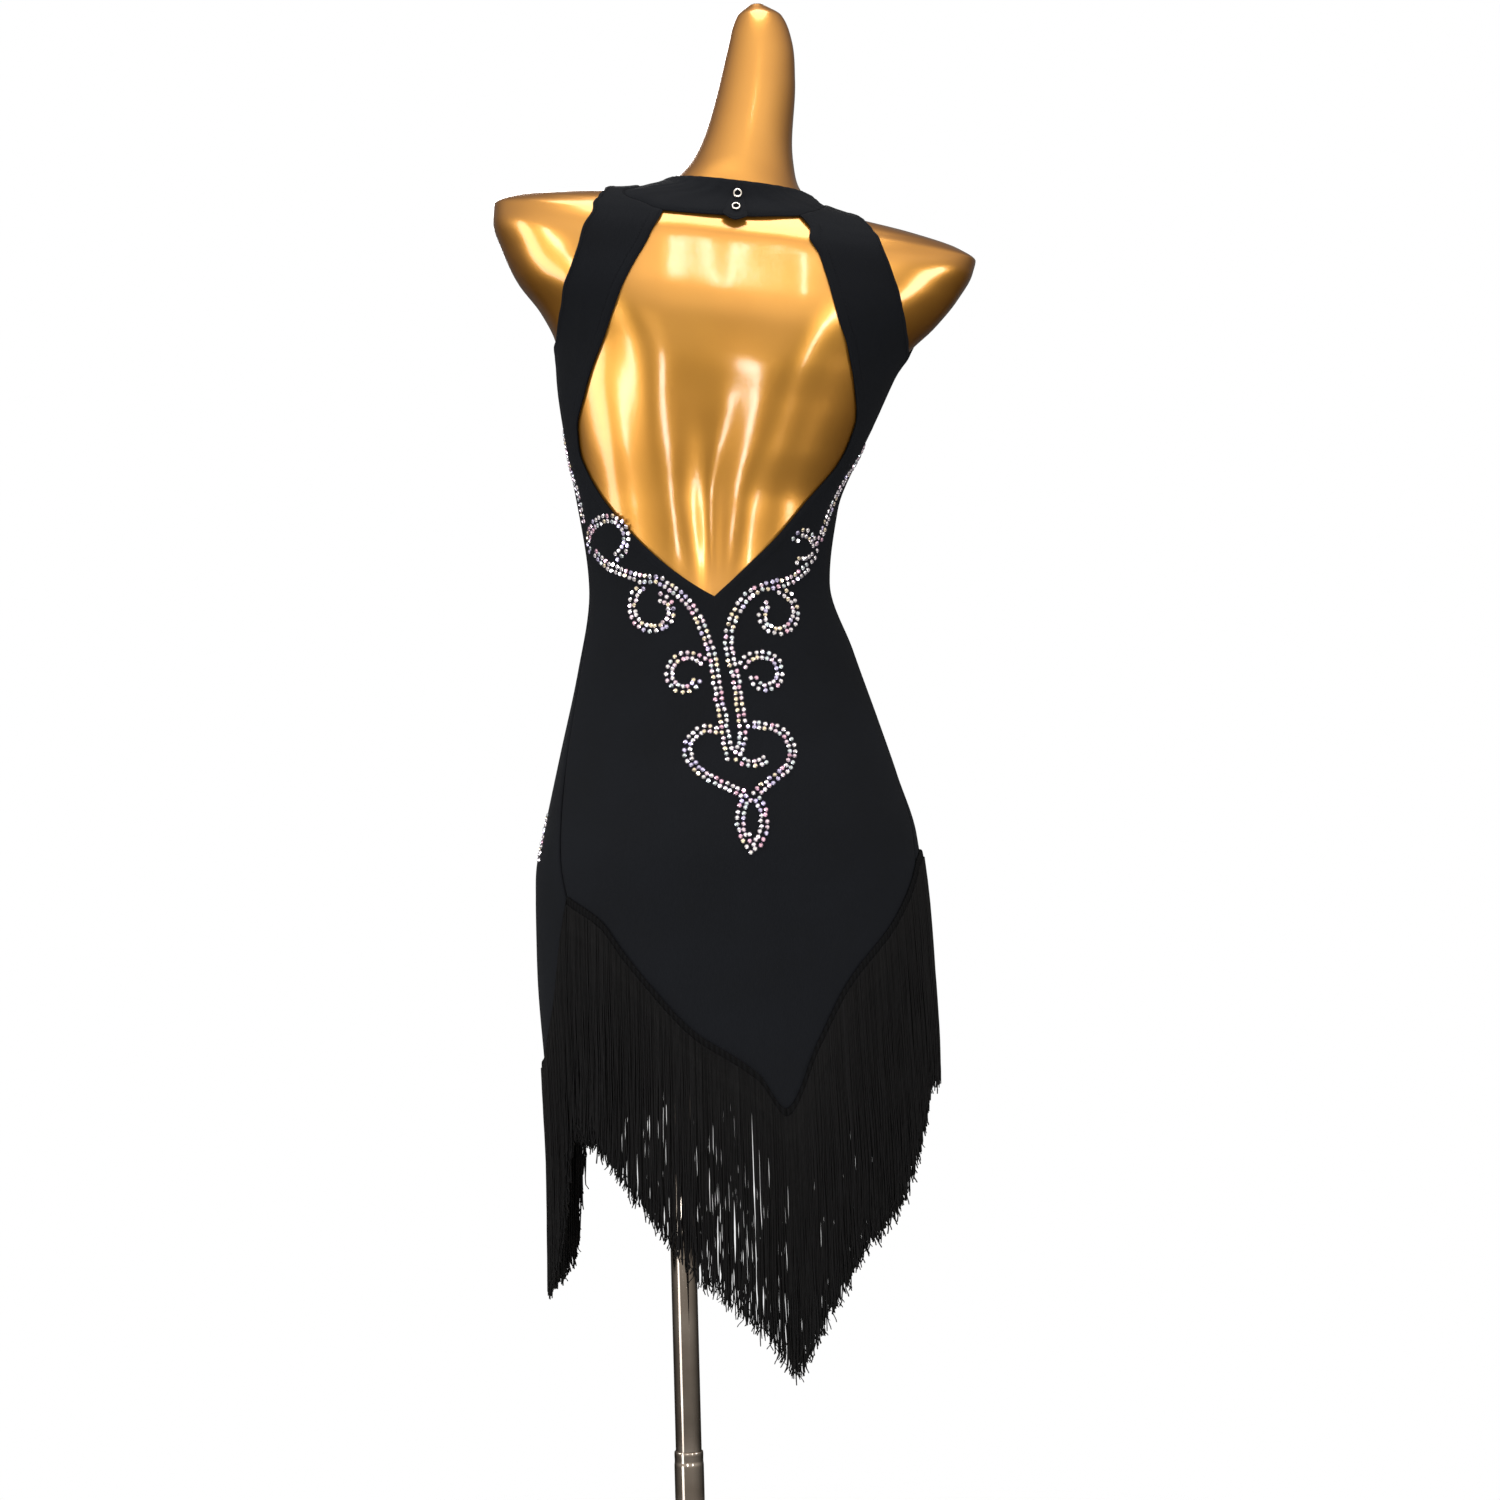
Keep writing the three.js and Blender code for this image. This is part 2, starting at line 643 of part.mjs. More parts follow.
/** A wire ring lying on the tab. */
function closingRing(name, up, gap) {
  const { height, angle } = heightUp({ height: TAB_MIDDLE, angle: COLLAR_MEETS }, up);
  const out = TAB_FROM + TAB.thick + gap + RING.wire;
  const ring = add(name, new THREE.TorusGeometry(RING.radius, RING.wire, WIRE_SIDES, RING_TURNS), chrome());
  const seat = onGown(height, angle, out);
  const facing = onGown(height, angle, out + 1);
  ring.position.copy(seat);
  ring.lookAt(facing);
}
closingRing("closure_ring_upper", RING.spacing / 2, RING.overHollow);
closingRing("closure_ring_lower", -RING.spacing / 2, RING.overFlat);

// ---- fringe: a tape on the panel's points, moved out, with strands fused into it ----
const TAPE_FROM = EASE + CLOTH + TAPE.clear;
const TAPE_MIDDLE = TAPE_FROM + TAPE.thick / 2;

/** One strand: a tapering prism from inside the tape straight down the hang of the skirt. */
function strand(hem, angle, length) {
  const after = hem.findIndex((place) => place.angle > angle);
  const [low, high] = [hem[after - 1], hem[after]];
  const share = (angle - low.angle) / (high.angle - low.angle);
  const ring = (up, radius) => {
    const middle = onGown(low.height + up, low.angle, TAPE_MIDDLE);
    middle.lerp(onGown(high.height + up, high.angle, TAPE_MIDDLE), share);
    return Array.from({ length: FRINGE.sides }, (_, i) => {
      const turn = rad(angle + (i * 360) / FRINGE.sides);
      return new THREE.Vector3(radius * Math.cos(turn), radius * Math.sin(turn), 0).add(middle);
    });
  };
  return ringSolid([ring(-length, FRINGE.tip), ring(TAPE.above / 3, FRINGE.root)]);
}

/** Angles along a stretch of hem, evenly spaced over the ground, and not along a steep edge. */
function evenAngles(hem, count) {
  const FINE = 400;
  const low = hem[0].angle;
  const high = hem[hem.length - 1].angle;
  const steps = Array.from({ length: FINE + 1 }, (_, i) => lerp(low, high, i / FINE));
  const ground = steps.map((angle) => onGown(700, angle));
  const run = [0];
  for (let i = 1; i <= FINE; i++) run.push(run[i - 1] + ground[i].distanceTo(ground[i - 1]));
  const angleAt = smooth(run, steps);
  return Array.from({ length: count }, (_, i) => angleAt((run[FINE] * (i + 0.5)) / count));
}

function fringe(name, hem, lengthAt, count) {
  const tapeRows = [-TAPE.below, TAPE.above].map((up) =>
    hem.map(({ height, angle }) => ({ height: height + up, angle })),
  );
  const tape = solid(clothWall([tapeRows], TAPE_FROM, TAPE_FROM + TAPE.thick));
  const uneven = (i) => 6 * Math.sin(i * 2.4) + 4 * Math.sin(i * 0.7);
  const all = evenAngles(hem, count).reduce((joined, angle, i) => {
    return joined.add(solid(strand(hem, angle, lengthAt(angle) + uneven(i))));
  }, tape);
  add(name, geometryOf(all), rayon());
}

const TAPE_GAP = 0.35; // degrees, about 1 mm, left between neighbouring tapes
/** A tape along the places of a hem row between two angles, with a place at each of the two. */
function tapeAlong(name, row, [heightAt, lengthAt], from, to, count) {
  const end = (angle) => ({ height: heightAt(angle), angle });
  const inside = row.filter(({ angle }) => angle > from && angle < to);
  fringe(name, [end(from), ...inside, end(to)], lengthAt, count);
}
const behind = [backHem, backLength];
const before = [frontHem, frontLength];
const half = TAPE_GAP / 2;
const { backLeft: leftCount, backRight: rightCount, frontTail: tailCount, frontRight: frontCount } = STRANDS;
tapeAlong("fringe_back_left", backLeft.hemRow, behind, 32.5 + TAPE_GAP, BACK_POINT - half, leftCount);
tapeAlong("fringe_back_right", backRight.hemRow, behind, BACK_POINT + half, 159 - TAPE_GAP, rightCount);
tapeAlong("fringe_front_right", frontPanel.hemRow, before, -201 + TAPE_GAP, TAIL_EDGE - half, frontCount);
tapeAlong("fringe_front_tail", frontPanel.hemRow, before, TAIL_EDGE + half, 32.5 - TAPE_GAP, tailCount);

// ---- stand: turned pieces on the pole's axis ----
const POLE_SIDES = 24;
/** A turned piece from its outline, given as [radius, height] corners. */
function turned(name, corners, material, sides = POLE_SIDES) {
  const outline = [...corners, corners[0]].map(([radius, height]) => new THREE.Vector2(radius, height));
  const geometry = new THREE.LatheGeometry(outline, sides);
  geometry.rotateX(Math.PI / 2);
  add(name, geometryOf(solid(geometry)), material);
}

const formBottom = FORM.height[0];
const upperTop = formBottom - FLANGE.thick - 2 * SEAM;
const upperRadius = TUBE.upper / 2;
const lowerRadius = TUBE.lower / 2;
const tubeSeat = FOOT.thick + SEAM;
const neckRadius = upperRadius + TUBE.slip;

turned("foot_plate", [
  [0, 0],
  [FOOT.radius - FOOT.edge, 0],
  [FOOT.radius, FOOT.edge],
  [FOOT.radius, FOOT.thick - FOOT.edge],
  [FOOT.radius - FOOT.edge, FOOT.thick],
  [FOOT.collar, FOOT.thick],
  [FOOT.collar, FOOT.collarTop - 3],
  [FOOT.collar - 3, FOOT.collarTop],
  [lowerRadius + SEAM, FOOT.collarTop],
  [lowerRadius + SEAM, FOOT.thick],
  [0, FOOT.thick],
], chrome(), 40);
turned("pole_lower", [
  [lowerRadius - TUBE.wall, tubeSeat],
  [lowerRadius, tubeSeat],
  [lowerRadius, JOINT.height],
  [neckRadius + 0.7, JOINT.height + JOINT.taper],
  [neckRadius, JOINT.height + JOINT.taper],
  [neckRadius, JOINT.height - 2],
  [lowerRadius - TUBE.wall, JOINT.height - 6],
], chrome());
turned("pole_upper", [
  [upperRadius - TUBE.wall, JOINT.height - TUBE.plug],
  [upperRadius, JOINT.height - TUBE.plug],
  [upperRadius, upperTop],
  [upperRadius - TUBE.wall, upperTop],
], chrome());
turned("form_flange", [
  [0, formBottom - SEAM],
  [FLANGE.radius, formBottom - SEAM],
  [FLANGE.radius, formBottom - SEAM - FLANGE.thick],
  [FLANGE.sleeve, formBottom - SEAM - FLANGE.thick],
  [FLANGE.sleeve, formBottom - SEAM - FLANGE.sleeveLength],
  [upperRadius + SEAM, formBottom - SEAM - FLANGE.sleeveLength],
  [upperRadius + SEAM, formBottom - SEAM - FLANGE.thick],
  [0, formBottom - SEAM - FLANGE.thick],
].reverse(), chrome());

export default model;
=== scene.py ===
"""Looks of a black latin dance dress on a gold dress form with a steel stand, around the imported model.

Tables and the figure's surface are in millimetres and degrees, as in the part's source, and meshes are
made in metres. +Z is up, the origin is the middle of the stand's foot, +X is the wearer's left and the
garment's back faces +Y. Angles run from +X towards +Y, so the centre back is near 90 degrees.
"""

import math

import bpy
import numpy as np
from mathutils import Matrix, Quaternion, Vector


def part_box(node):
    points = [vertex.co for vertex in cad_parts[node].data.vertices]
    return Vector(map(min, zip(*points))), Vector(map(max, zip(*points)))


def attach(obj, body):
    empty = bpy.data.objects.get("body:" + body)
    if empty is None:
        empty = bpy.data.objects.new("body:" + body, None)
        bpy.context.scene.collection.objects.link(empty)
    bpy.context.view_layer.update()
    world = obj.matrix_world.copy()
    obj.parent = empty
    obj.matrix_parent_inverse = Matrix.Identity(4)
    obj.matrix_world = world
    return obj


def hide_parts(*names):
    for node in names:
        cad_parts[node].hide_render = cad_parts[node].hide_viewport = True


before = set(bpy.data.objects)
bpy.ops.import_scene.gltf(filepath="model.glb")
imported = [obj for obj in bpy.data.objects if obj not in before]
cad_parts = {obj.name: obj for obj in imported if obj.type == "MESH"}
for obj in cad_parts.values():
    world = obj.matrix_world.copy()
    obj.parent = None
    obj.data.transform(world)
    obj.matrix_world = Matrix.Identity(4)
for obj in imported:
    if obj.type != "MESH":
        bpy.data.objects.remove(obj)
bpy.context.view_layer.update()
MM = 0.001
TAU = 2 * math.pi

# ---- camera ----
CAMERA_DISTANCE = 3.4
CAMERA_HEIGHT = 0.9
CAMERA_ACROSS = -0.0716
FRAME_WIDTH = 1.35  # what the frame spans at the stand's pole
CAMERA_ROLL = -1.5  # degrees; the pole's top leans left in the picture
SENSOR = 36.0


def make_camera():
    """Looks level along -Y at the garment's back, rolled about its own line of sight."""
    data = bpy.data.cameras.new("camera")
    data.sensor_width = SENSOR
    data.lens = SENSOR * CAMERA_DISTANCE / FRAME_WIDTH
    data.clip_end = 60.0
    camera = bpy.data.objects.new("camera", data)
    camera.location = (CAMERA_ACROSS, CAMERA_DISTANCE, CAMERA_HEIGHT)
    facing = Vector((0, -1, 0)).to_track_quat("-Z", "Y")
    camera.rotation_mode = "QUATERNION"
    camera.rotation_quaternion = facing @ Quaternion((0, 0, 1), math.radians(CAMERA_ROLL))
    bpy.context.scene.collection.objects.link(camera)
    bpy.context.scene.camera = camera


make_camera()

# ---- driving sizes, as in the part's source ----
CLOTH_FACE = 3.2  # the cloth's outer face stands this far off the figure
CLOTH = 1.2
SEAM = 0.1  # between the pieces at a seam, where their rounded rims meet
TAPE_FACE = 6.0  # outer face of the fringe's woven header
TAPE = {"thick": 1.9, "above": 7.5, "below": 1.5}
TAB = {"half": 7.3, "middle": 1379.0, "height": 18.5, "point": 5.0, "face": 5.7, "thick": 1.3}
RING = {"radius": 3.2, "wire": 0.8, "spacing": 18.5, "over_hollow": 1.1, "over_flat": 0.4}
COLLAR_TOP = 1400.5
COLLAR_MEETS = 90.0
TAIL_EDGE = -48.0  # where the two lengths of front fringe meet
BACK_POINT = 96.5


def table(names, rows):
    """Rows of numbers as a dictionary of named columns."""
    return dict(zip(names.split(), np.array(rows, float).T))


# Level slices of the dress form: the middle (across, depth), half the width, the reach forwards and
# backwards, how boxy the outline is (2 is an ellipse), how far the left side is raised, and the twist.
SLICE = "height across depth half front back square tilt turn"
FORM = table(SLICE, [
    [700, -52, 8, 150, 86, 92, 2.3, 0.0, 6],
    [725, -51, 8, 165, 95, 106, 2.3, -3.0, 6],
    [755, -50, 8, 170, 100, 116, 2.25, -5.0, 6],
    [805, -48, 7, 169, 102, 121, 2.2, -5.0, 6],
    [860, -46, 5, 155, 100, 110, 2.2, -5.0, 5],
    [910, -45, 3, 141, 96, 94, 2.15, -4.0, 4],
    [980, -43, 0, 121, 88, 80, 2.1, -2.5, 2],
    [1048, -39, -2, 105, 82, 76, 2.1, 0.0, 0],
    [1120, -39, 0, 114, 88, 84, 2.1, 3.0, 0],
    [1170, -44, 3, 128, 94, 93, 2.15, 5.0, 0],
    [1210, -50, 5, 140, 97, 99, 2.2, 6.5, 0],
    [1250, -57, 8, 151, 97, 102, 2.25, 7.5, 0],
    [1275, -59, 10, 166, 96, 102, 2.3, 7.5, 0],
    [1299, -61, 12, 188, 93, 100, 2.4, 7.5, 0],
    [1325, -65, 14, 205, 86, 95, 2.5, 7.5, 0],
    [1350, -68, 16, 216, 75, 88, 2.6, 7.7, 0],
    [1362, -70, 17, 217, 67, 80, 2.6, 8.2, 0],
    [1370.5, -71, 18, 203, 60, 72, 2.5, 8.4, 0],
    [1378.5, -72, 19, 165, 53, 64, 2.4, 8.4, 0],
    [1385.3, -73, 20, 110, 49, 58, 2.3, 8.4, 0],
    [1394, -74, 21, 72, 47, 54, 2.2, 8.4, 0],
    [1406, -75, 21, 56, 44, 50, 2.1, 8.2, 0],
    [1426, -80, 21, 45, 39, 43, 2.0, 8.0, 0],
    [1449, -85, 20, 39, 34, 38, 2.0, 9.0, 0],
    [1503, -95, 18, 33, 27, 30, 2.0, 8.0, 0],
    [1535, -98, 17, 28, 22, 24, 2.0, 5.0, 0],
    [1557, -97, 16, 20, 15, 16, 2.0, 0.0, 0],
    [1567, -95, 16, 6, 5, 5, 2.0, 0.0, 0],
])
HANG = table(SLICE, [  # below the hips the skirt hangs clear of the form
    [330, -57, 6, 175, 112, 148, 2.2, -5.0, 6],
    [540, -57, 6, 172, 108, 140, 2.2, -5.0, 6],
    [620, -56, 6, 173, 108, 132, 2.2, -5.0, 6],
    [700, -53, 7, 173, 106, 126, 2.2, -5.0, 6],
    [755, -51, 7, 172, 106, 123, 2.2, -5.0, 6],
])
GOWN = {name: np.concatenate([HANG[name], FORM[name][FORM["height"] >= 805]]) for name in FORM}

# Soft modelling: each mound (or hollow) fades as a bell curve over high mm and wide degrees.
MOUND = "height angle out high wide"
MOUNDS = table(MOUND, [
    [1226, -60, 15, 58, 33],
    [1226, -120, 15, 58, 33],
    [1180, 91, -8, 95, 17],
    [1285, 58, 5, 48, 20],
    [1285, 124, 5, 48, 20],
])
# The form's own finer modelling in the open back: the furrow of the spine and the blades' inner edges.
BARE_MOUNDS = table(MOUND, [
    [1075, 91.0, -3.2, 60, 5],
    [1135, 91.5, -2.0, 60, 7],
    [1330, 92.0, -2.5, 45, 12],
    [1250, 70.0, 1.6, 60, 9],
    [1262, 112.0, 1.6, 55, 9],
    [1120, 76.0, 1.2, 60, 7],
    [1120, 105.0, 1.2, 60, 7],
])
SIDE_SEAMS = table("height left right", [
    [780, 32.5, 159],
    [820, 27, 163],
    [860, 21, 168],
    [910, 16, 170],
    [960, 12.5, 171.5],
    [1036, 8.5, 174],
    [1112, 4.5, 176],
    [1200, 2.5, 177.5],
    [1275, 1.5, 178.5],
])
CENTRE_BACK = table("height angle", [[578, 96.5], [806, 93.5], [1036, 92]])
COLLAR_LOW = table("angle height", [
    [-180, 1393],
    [-165, 1392],
    [-150, 1389.5],
    [-135, 1385.5],
    [-120, 1381],
    [-90, 1374],
    [-60, 1378.5],
    [-45, 1382.5],
    [-30, 1386.5],
    [-15, 1389],
    [0, 1390],
    [15, 1389],
    [30, 1387.5],
    [45, 1384],
    [57.4, 1378.5],
    [64.5, 1373.7],
    [72, 1369.2],
    [78.4, 1364.3],
    [84, 1365],
    [90, 1367],
    [97.6, 1371.9],
    [103.2, 1374.7],
    [109, 1378.8],
    [121, 1383],
    [137, 1387],
    [150, 1389.5],
    [165, 1392],
    [180, 1393],
])
# The back above the waist, a row for each line across a strap, from the shoulder to the point of the
# V: the armhole or side edge first, then the collar's seam and, from its corner on, the open back.
STRAP = "arm_height arm_angle open_height open_angle"
STRAP_LEFT = table(STRAP, [
    [1384.2, 0.09, 1390, 0.09],
    [1383.4, 20, 1389, 20],
    [1382, 36, 1386, 38],
    [1377.5, 51, 1379.7, 55],
    [1368.3, 59.6, 1371.6, 68],
    [1358.5, 61.2, 1364.3, 78.4],
    [1345, 58.9, 1342, 76],
    [1327, 55.4, 1322, 72],
    [1307, 50.2, 1299, 66.8],
    [1287, 40.3, 1268, 56.4],
    [1269, 28.3, 1235, 44.4],
    [1252, 15, 1204, 35.2],
    [1238, 2, 1178, 26],
    [1200, 2.5, 1160, 24.5],
    [1165, 3, 1142, 29.5],
    [1130, 4, 1126, 36],
    [1110, 4.6, 1108, 45],
    [1085, 6, 1084, 58.5],
    [1060, 7.3, 1060, 74],
    [1036, 8.5, 1036, 92],
])
STRAP_RIGHT = table(STRAP, [
    [1385.8, 179.91, 1393, 179.91],
    [1385.5, 163, 1391.8, 163],
    [1383.3, 147, 1388.6, 145],
    [1379.5, 131.5, 1385, 128],
    [1372.8, 122.6, 1380.5, 113],
    [1364.5, 119.8, 1374.7, 103.2],
    [1351.5, 121.7, 1357, 102.4],
    [1336.5, 125.8, 1339, 105.9],
    [1320, 131.8, 1316, 110.9],
    [1303, 139.7, 1292, 117.4],
    [1289, 150.2, 1264, 129],
    [1277, 164.5, 1230, 142.6],
    [1265, 178.3, 1198, 153.5],
    [1225, 177.8, 1178, 155],
    [1190, 177.3, 1160, 152.5],
    [1155, 176.8, 1142, 146.5],
    [1120, 176.2, 1118, 136],
    [1090, 175.5, 1088, 122],
    [1062, 174.8, 1062, 107.5],
    [1036, 174, 1036, 92],
])
CORNER = 5  # the strap row that reaches the corner of the collar and the open back
UNDERARM = 12  # the strap row where the armhole ends and the side seam begins
# The front above the underarms: both edges of each line across, and its middle.
BODICE = table("left_height left_angle right_height right_angle middle", [
    [1384.2, -0.09, 1385.8, -179.91, 1367.5],
    [1377.5, -33, 1379.5, -147, 1362],
    [1370.2, -48, 1372, -132, 1355],
    [1357, -55.5, 1361, -125, 1343],
    [1327, -51.5, 1339, -130, 1319],
    [1300, -40, 1318, -140, 1296],
    [1275, -26, 1300, -152, 1274],
    [1252, -11, 1281, -167, 1256],
    [1238, 2, 1265, -181.7, 1251.5],
])
WAIST, HIPS = 1036.0, 860.0
HEM_CROWD = 1.3  # how much closer the lines below the hips lie near them
HEM_LEVEL = 700.0  # near the hem, where the fringe is spaced out
LEFT_END, RIGHT_END = 32.5, -201.0  # the side seams at the hem, where the front starts and ends
BACK_HEM = table("angle height", [
    [32.5, 780],
    [47, 756],
    [54, 730],
    [60.5, 706],
    [74, 656],
    [89.5, 614],
    [96.5, 578],
    [106.5, 632],
    [117.5, 680],
    [137.5, 726],
    [159, 776],
])
FRONT_HEM = table("angle height", [
    [-201, 776],
    [-190, 783],
    [-165, 782],
    [-130, 775],
    [-90, 768],
    [-60, 762],
    [-48, 752],
    [-43, 690],
    [-37, 645],
    [-25, 633],
    [-10, 632],
    [6, 638],
    [13, 656],
    [22, 694],
    [28, 748],
    [32.5, 780],
])
BACK_FRINGE = table("angle length", [
    [32.5, 205],
    [60, 204],
    [80, 216],
    [94, 226],
    [99, 225],
    [108, 232],
    [128, 234],
    [140, 218],
    [148, 200],
    [159, 184],
])
FRONT_FRINGE = table("angle length", [[-201, 200], [-60, 196], [-30, 202], [32.5, 205]])


# ---- the figure's surface ----
def curve(at, values):
    """Monotone cubic through (at, values). On a piece of width s, with t from 0 to 1 along it, it is
    (1+2t)(1-t)^2 y0 + t(1-t)^2 s m0 + t^2(3-2t) y1 - t^2(1-t) s m1. A point's slope m is the weighted
    harmonic mean of the slopes beside it, or 0 where those differ in sign."""
    at, values = np.asarray(at, float), np.asarray(values, float)
    step = np.diff(at)
    rise = np.diff(values) / step
    before, after = 2 * step[1:] + step[:-1], step[1:] + 2 * step[:-1]
    same = rise[:-1] * rise[1:] > 0
    low, high = np.where(same, rise[:-1], 1.0), np.where(same, rise[1:], 1.0)
    inner = np.where(same, (before + after) / (before / low + after / high), 0.0)
    slope = np.concatenate([rise[:1], inner, rise[-1:]])

    def follow(x):
        """The cubic between the two values round x, held level past the ends."""
        x = np.clip(x, at[0], at[-1])
        i = np.clip(np.searchsorted(at, x, side="right") - 1, 0, len(step) - 1)
        t = (x - at[i]) / step[i]
        u = 1 - t
        ends = (1 + 2 * t) * u * u * values[i] + t * t * (3 - 2 * t) * values[i + 1]
        return ends + t * u * step[i] * (u * slope[i] - t * slope[i + 1])

    return follow


def curves(rows):
    """One smooth curve for each column of a table, over its first column."""
    first, *others = rows
    return {name: curve(rows[first], rows[name]) for name in others}


def relief(height, angle, mounds):
    """Sum over the mounds of out * exp(-(dh/high)^2) * exp(-(da/wide)^2)."""
    total = np.zeros(np.broadcast(height, angle).shape)
    for h, a, out, high, wide in zip(*mounds.values()):
        turned = (angle - a + 180) % 360 - 180
        total += out * np.exp(-(((height - h) / high) ** 2) - (turned / wide) ** 2)
    return total


def surface(slices, mounds):
    """A surface by height and angle. A slice's outline is x = half * |cos|^(2/square) and y = reach *
    |sin|^(2/square), with their signs; it grows by the mounds, turns, tilts and moves to its middle.
    The returned function moves a point out along the surface's normal."""
    at = curves(slices)

    def skin(height, angle):
        """A slice is a superellipse, grown by the relief, then turned, tilted and moved."""
        cos, sin = np.cos(np.radians(angle)), np.sin(np.radians(angle))
        power = 2 / at["square"](height)
        reach = np.where(sin > 0, at["back"](height), at["front"](height))
        x = at["half"](height) * np.sign(cos) * np.abs(cos) ** power
        y = reach * np.sign(sin) * np.abs(sin) ** power
        grow = 1 + relief(height, angle, mounds) / np.maximum(np.hypot(x, y), 1)
        turn, tilt = np.radians(at["turn"](height)), np.radians(at["tilt"](height))
        tx = grow * (x * np.cos(turn) - y * np.sin(turn))
        ty = grow * (x * np.sin(turn) + y * np.cos(turn))
        across, depth = at["across"](height) + tx * np.cos(tilt), at["depth"](height) + ty
        return np.stack([across, depth, height + tx * np.sin(tilt)], -1)

    def moved(height, angle, out=0.0):
        """The skin, moved out along its normal, which is round times up."""
        height, angle = np.broadcast_arrays(np.asarray(height, float), np.asarray(angle, float))
        here = skin(height, angle)
        if np.all(np.asarray(out) == 0):
            return here
        around = skin(height, angle + 0.1) - skin(height, angle - 0.1)
        up = skin(height + 0.4, angle) - skin(height - 0.4, angle)
        return here + unit(np.cross(around, up)) * np.asarray(out, float)[..., None]

    return moved


def unit(vectors):
    """Vectors at length 1."""
    return vectors / np.maximum(np.linalg.norm(vectors, axis=-1, keepdims=True), 1e-9)


on_gown = surface(GOWN, MOUNDS)
both = {name: np.concatenate([MOUNDS[name], BARE_MOUNDS[name]]) for name in MOUNDS}
on_bare_form = surface(FORM, both)
collar_low = curves(COLLAR_LOW)["height"]
seams = curves(SIDE_SEAMS)
centre_back = curves(CENTRE_BACK)["angle"]
back_hem, front_hem = curves(BACK_HEM)["height"], curves(FRONT_HEM)["height"]
back_length, front_length = curves(BACK_FRINGE)["length"], curves(FRONT_FRINGE)["length"]


def lerp(a, b, t):
    """From a to b as t goes from 0 to 1."""
    return a + (b - a) * t


def ramp(x, low, high):
    """0 below low, 1 above high, and 3t^2 - 2t^3 between."""
    t = np.clip((x - low) / (high - low), 0, 1)
    return t * t * (3 - 2 * t)


def inset(height, angle, distance):
    """The angle that lies a distance in mm further round the cloth."""
    degree = np.linalg.norm(on_gown(height, angle + 0.5) - on_gown(height, angle - 0.5), axis=-1)
    return angle + distance / degree


def raised(height, angle, distance):
    """The height that lies a distance in mm further up the cloth."""
    each = np.linalg.norm(on_gown(height + 0.5, angle) - on_gown(height - 0.5, angle), axis=-1)
    return height + distance / each


def steps(count):
    """count + 1 even shares from 0 to 1."""
    return np.linspace(0, 1, count + 1)


def towards_ends(count, crowd=0.7):
    """Shares from 0 to 1 that crowd towards both ends: t - crowd * sin(2 pi t) / (2 pi)."""
    t = steps(count)
    return t - crowd * np.sin(TAU * t) / TAU


# ---- meshes ----
def add_mesh(name, points, quads=(), triangles=(), uv=None, tint=None, smooth=True, sharp=None):
    """A mesh object from points in mm, faced outwards as its signed volume says."""
    quads = np.asarray(quads, np.int32).reshape(-1, 4)
    triangles = np.asarray(triangles, np.int32).reshape(-1, 3)
    split = np.concatenate([quads[:, [0, 1, 2]], quads[:, [0, 2, 3]], triangles])
    a, b, c = (points[split[:, k]] for k in range(3))
    if (a * np.cross(b, c)).sum() < 0:
        quads, triangles = quads[:, ::-1], triangles[:, ::-1]
    loops = np.concatenate([quads.ravel(), triangles.ravel()])
    starts = np.concatenate([np.arange(len(quads)) * 4, quads.size + np.arange(len(triangles)) * 3])
    mesh = bpy.data.meshes.new(name)
    mesh.vertices.add(len(points))
    mesh.vertices.foreach_set("co", (points * MM).astype(np.float32).ravel())
    mesh.loops.add(len(loops))
    mesh.loops.foreach_set("vertex_index", loops)
    mesh.polygons.add(len(starts))
    mesh.polygons.foreach_set("loop_start", starts)
    mesh.polygons.foreach_set("use_smooth", np.full(len(starts), smooth))
    if uv is not None:
        layer = mesh.uv_layers.new(name="UVMap")
        layer.data.foreach_set("uv", (uv[loops] * MM).astype(np.float32).ravel())
    if tint is not None:
        layer = mesh.color_attributes.new("tint", "FLOAT_COLOR", "POINT")
        colours = np.column_stack([tint, np.ones(len(tint))])
        layer.data.foreach_set("color", colours.astype(np.float32).ravel())
    mesh.update(calc_edges=True)
    mesh.validate()
    if sharp is not None:
        mesh.set_sharp_from_angle(angle=math.radians(sharp))
    piece = bpy.data.objects.new(name, mesh)
    bpy.context.scene.collection.objects.link(piece)
    return piece


def dress_piece(piece, material, slot, *nodes):
    """Gives a piece its material and its body, and hides the nodes it stands for. slot is not used."""
    piece.data.materials.append(material)
    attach(piece, "root")
    if nodes:
        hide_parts(*nodes)
    return piece


def grid_quads(rows, columns, wrap=False, close=False):
    """Quads of a grid whose points run row by row. wrap joins its last column to its first, and close
    its last row to its first."""
    ids = np.arange(rows * columns).reshape(rows, columns)
    if close:
        ids = np.concatenate([ids, ids[:1]])
    if wrap:
        ids = np.concatenate([ids, ids[:, :1]], axis=1)
    return np.stack([ids[:-1, :-1], ids[:-1, 1:], ids[1:, 1:], ids[1:, :-1]], -1).reshape(-1, 4)


def capped(rings):
    """A closed skin over rings of points, with a fan to the middle of the first and of the last."""
    rows, columns = rings.shape[:2]
    points = np.concatenate([rings.reshape(-1, 3), [rings[0].mean(0), rings[-1].mean(0)]])
    around = np.arange(columns)
    onwards = (around + 1) % columns
    low = np.stack([np.full(columns, rows * columns), onwards, around], -1)
    top = (rows - 1) * columns
    high = np.stack([np.full(columns, rows * columns + 1), top + around, top + onwards], -1)
    return points, grid_quads(rows, columns, wrap=True), np.concatenate([low, high])


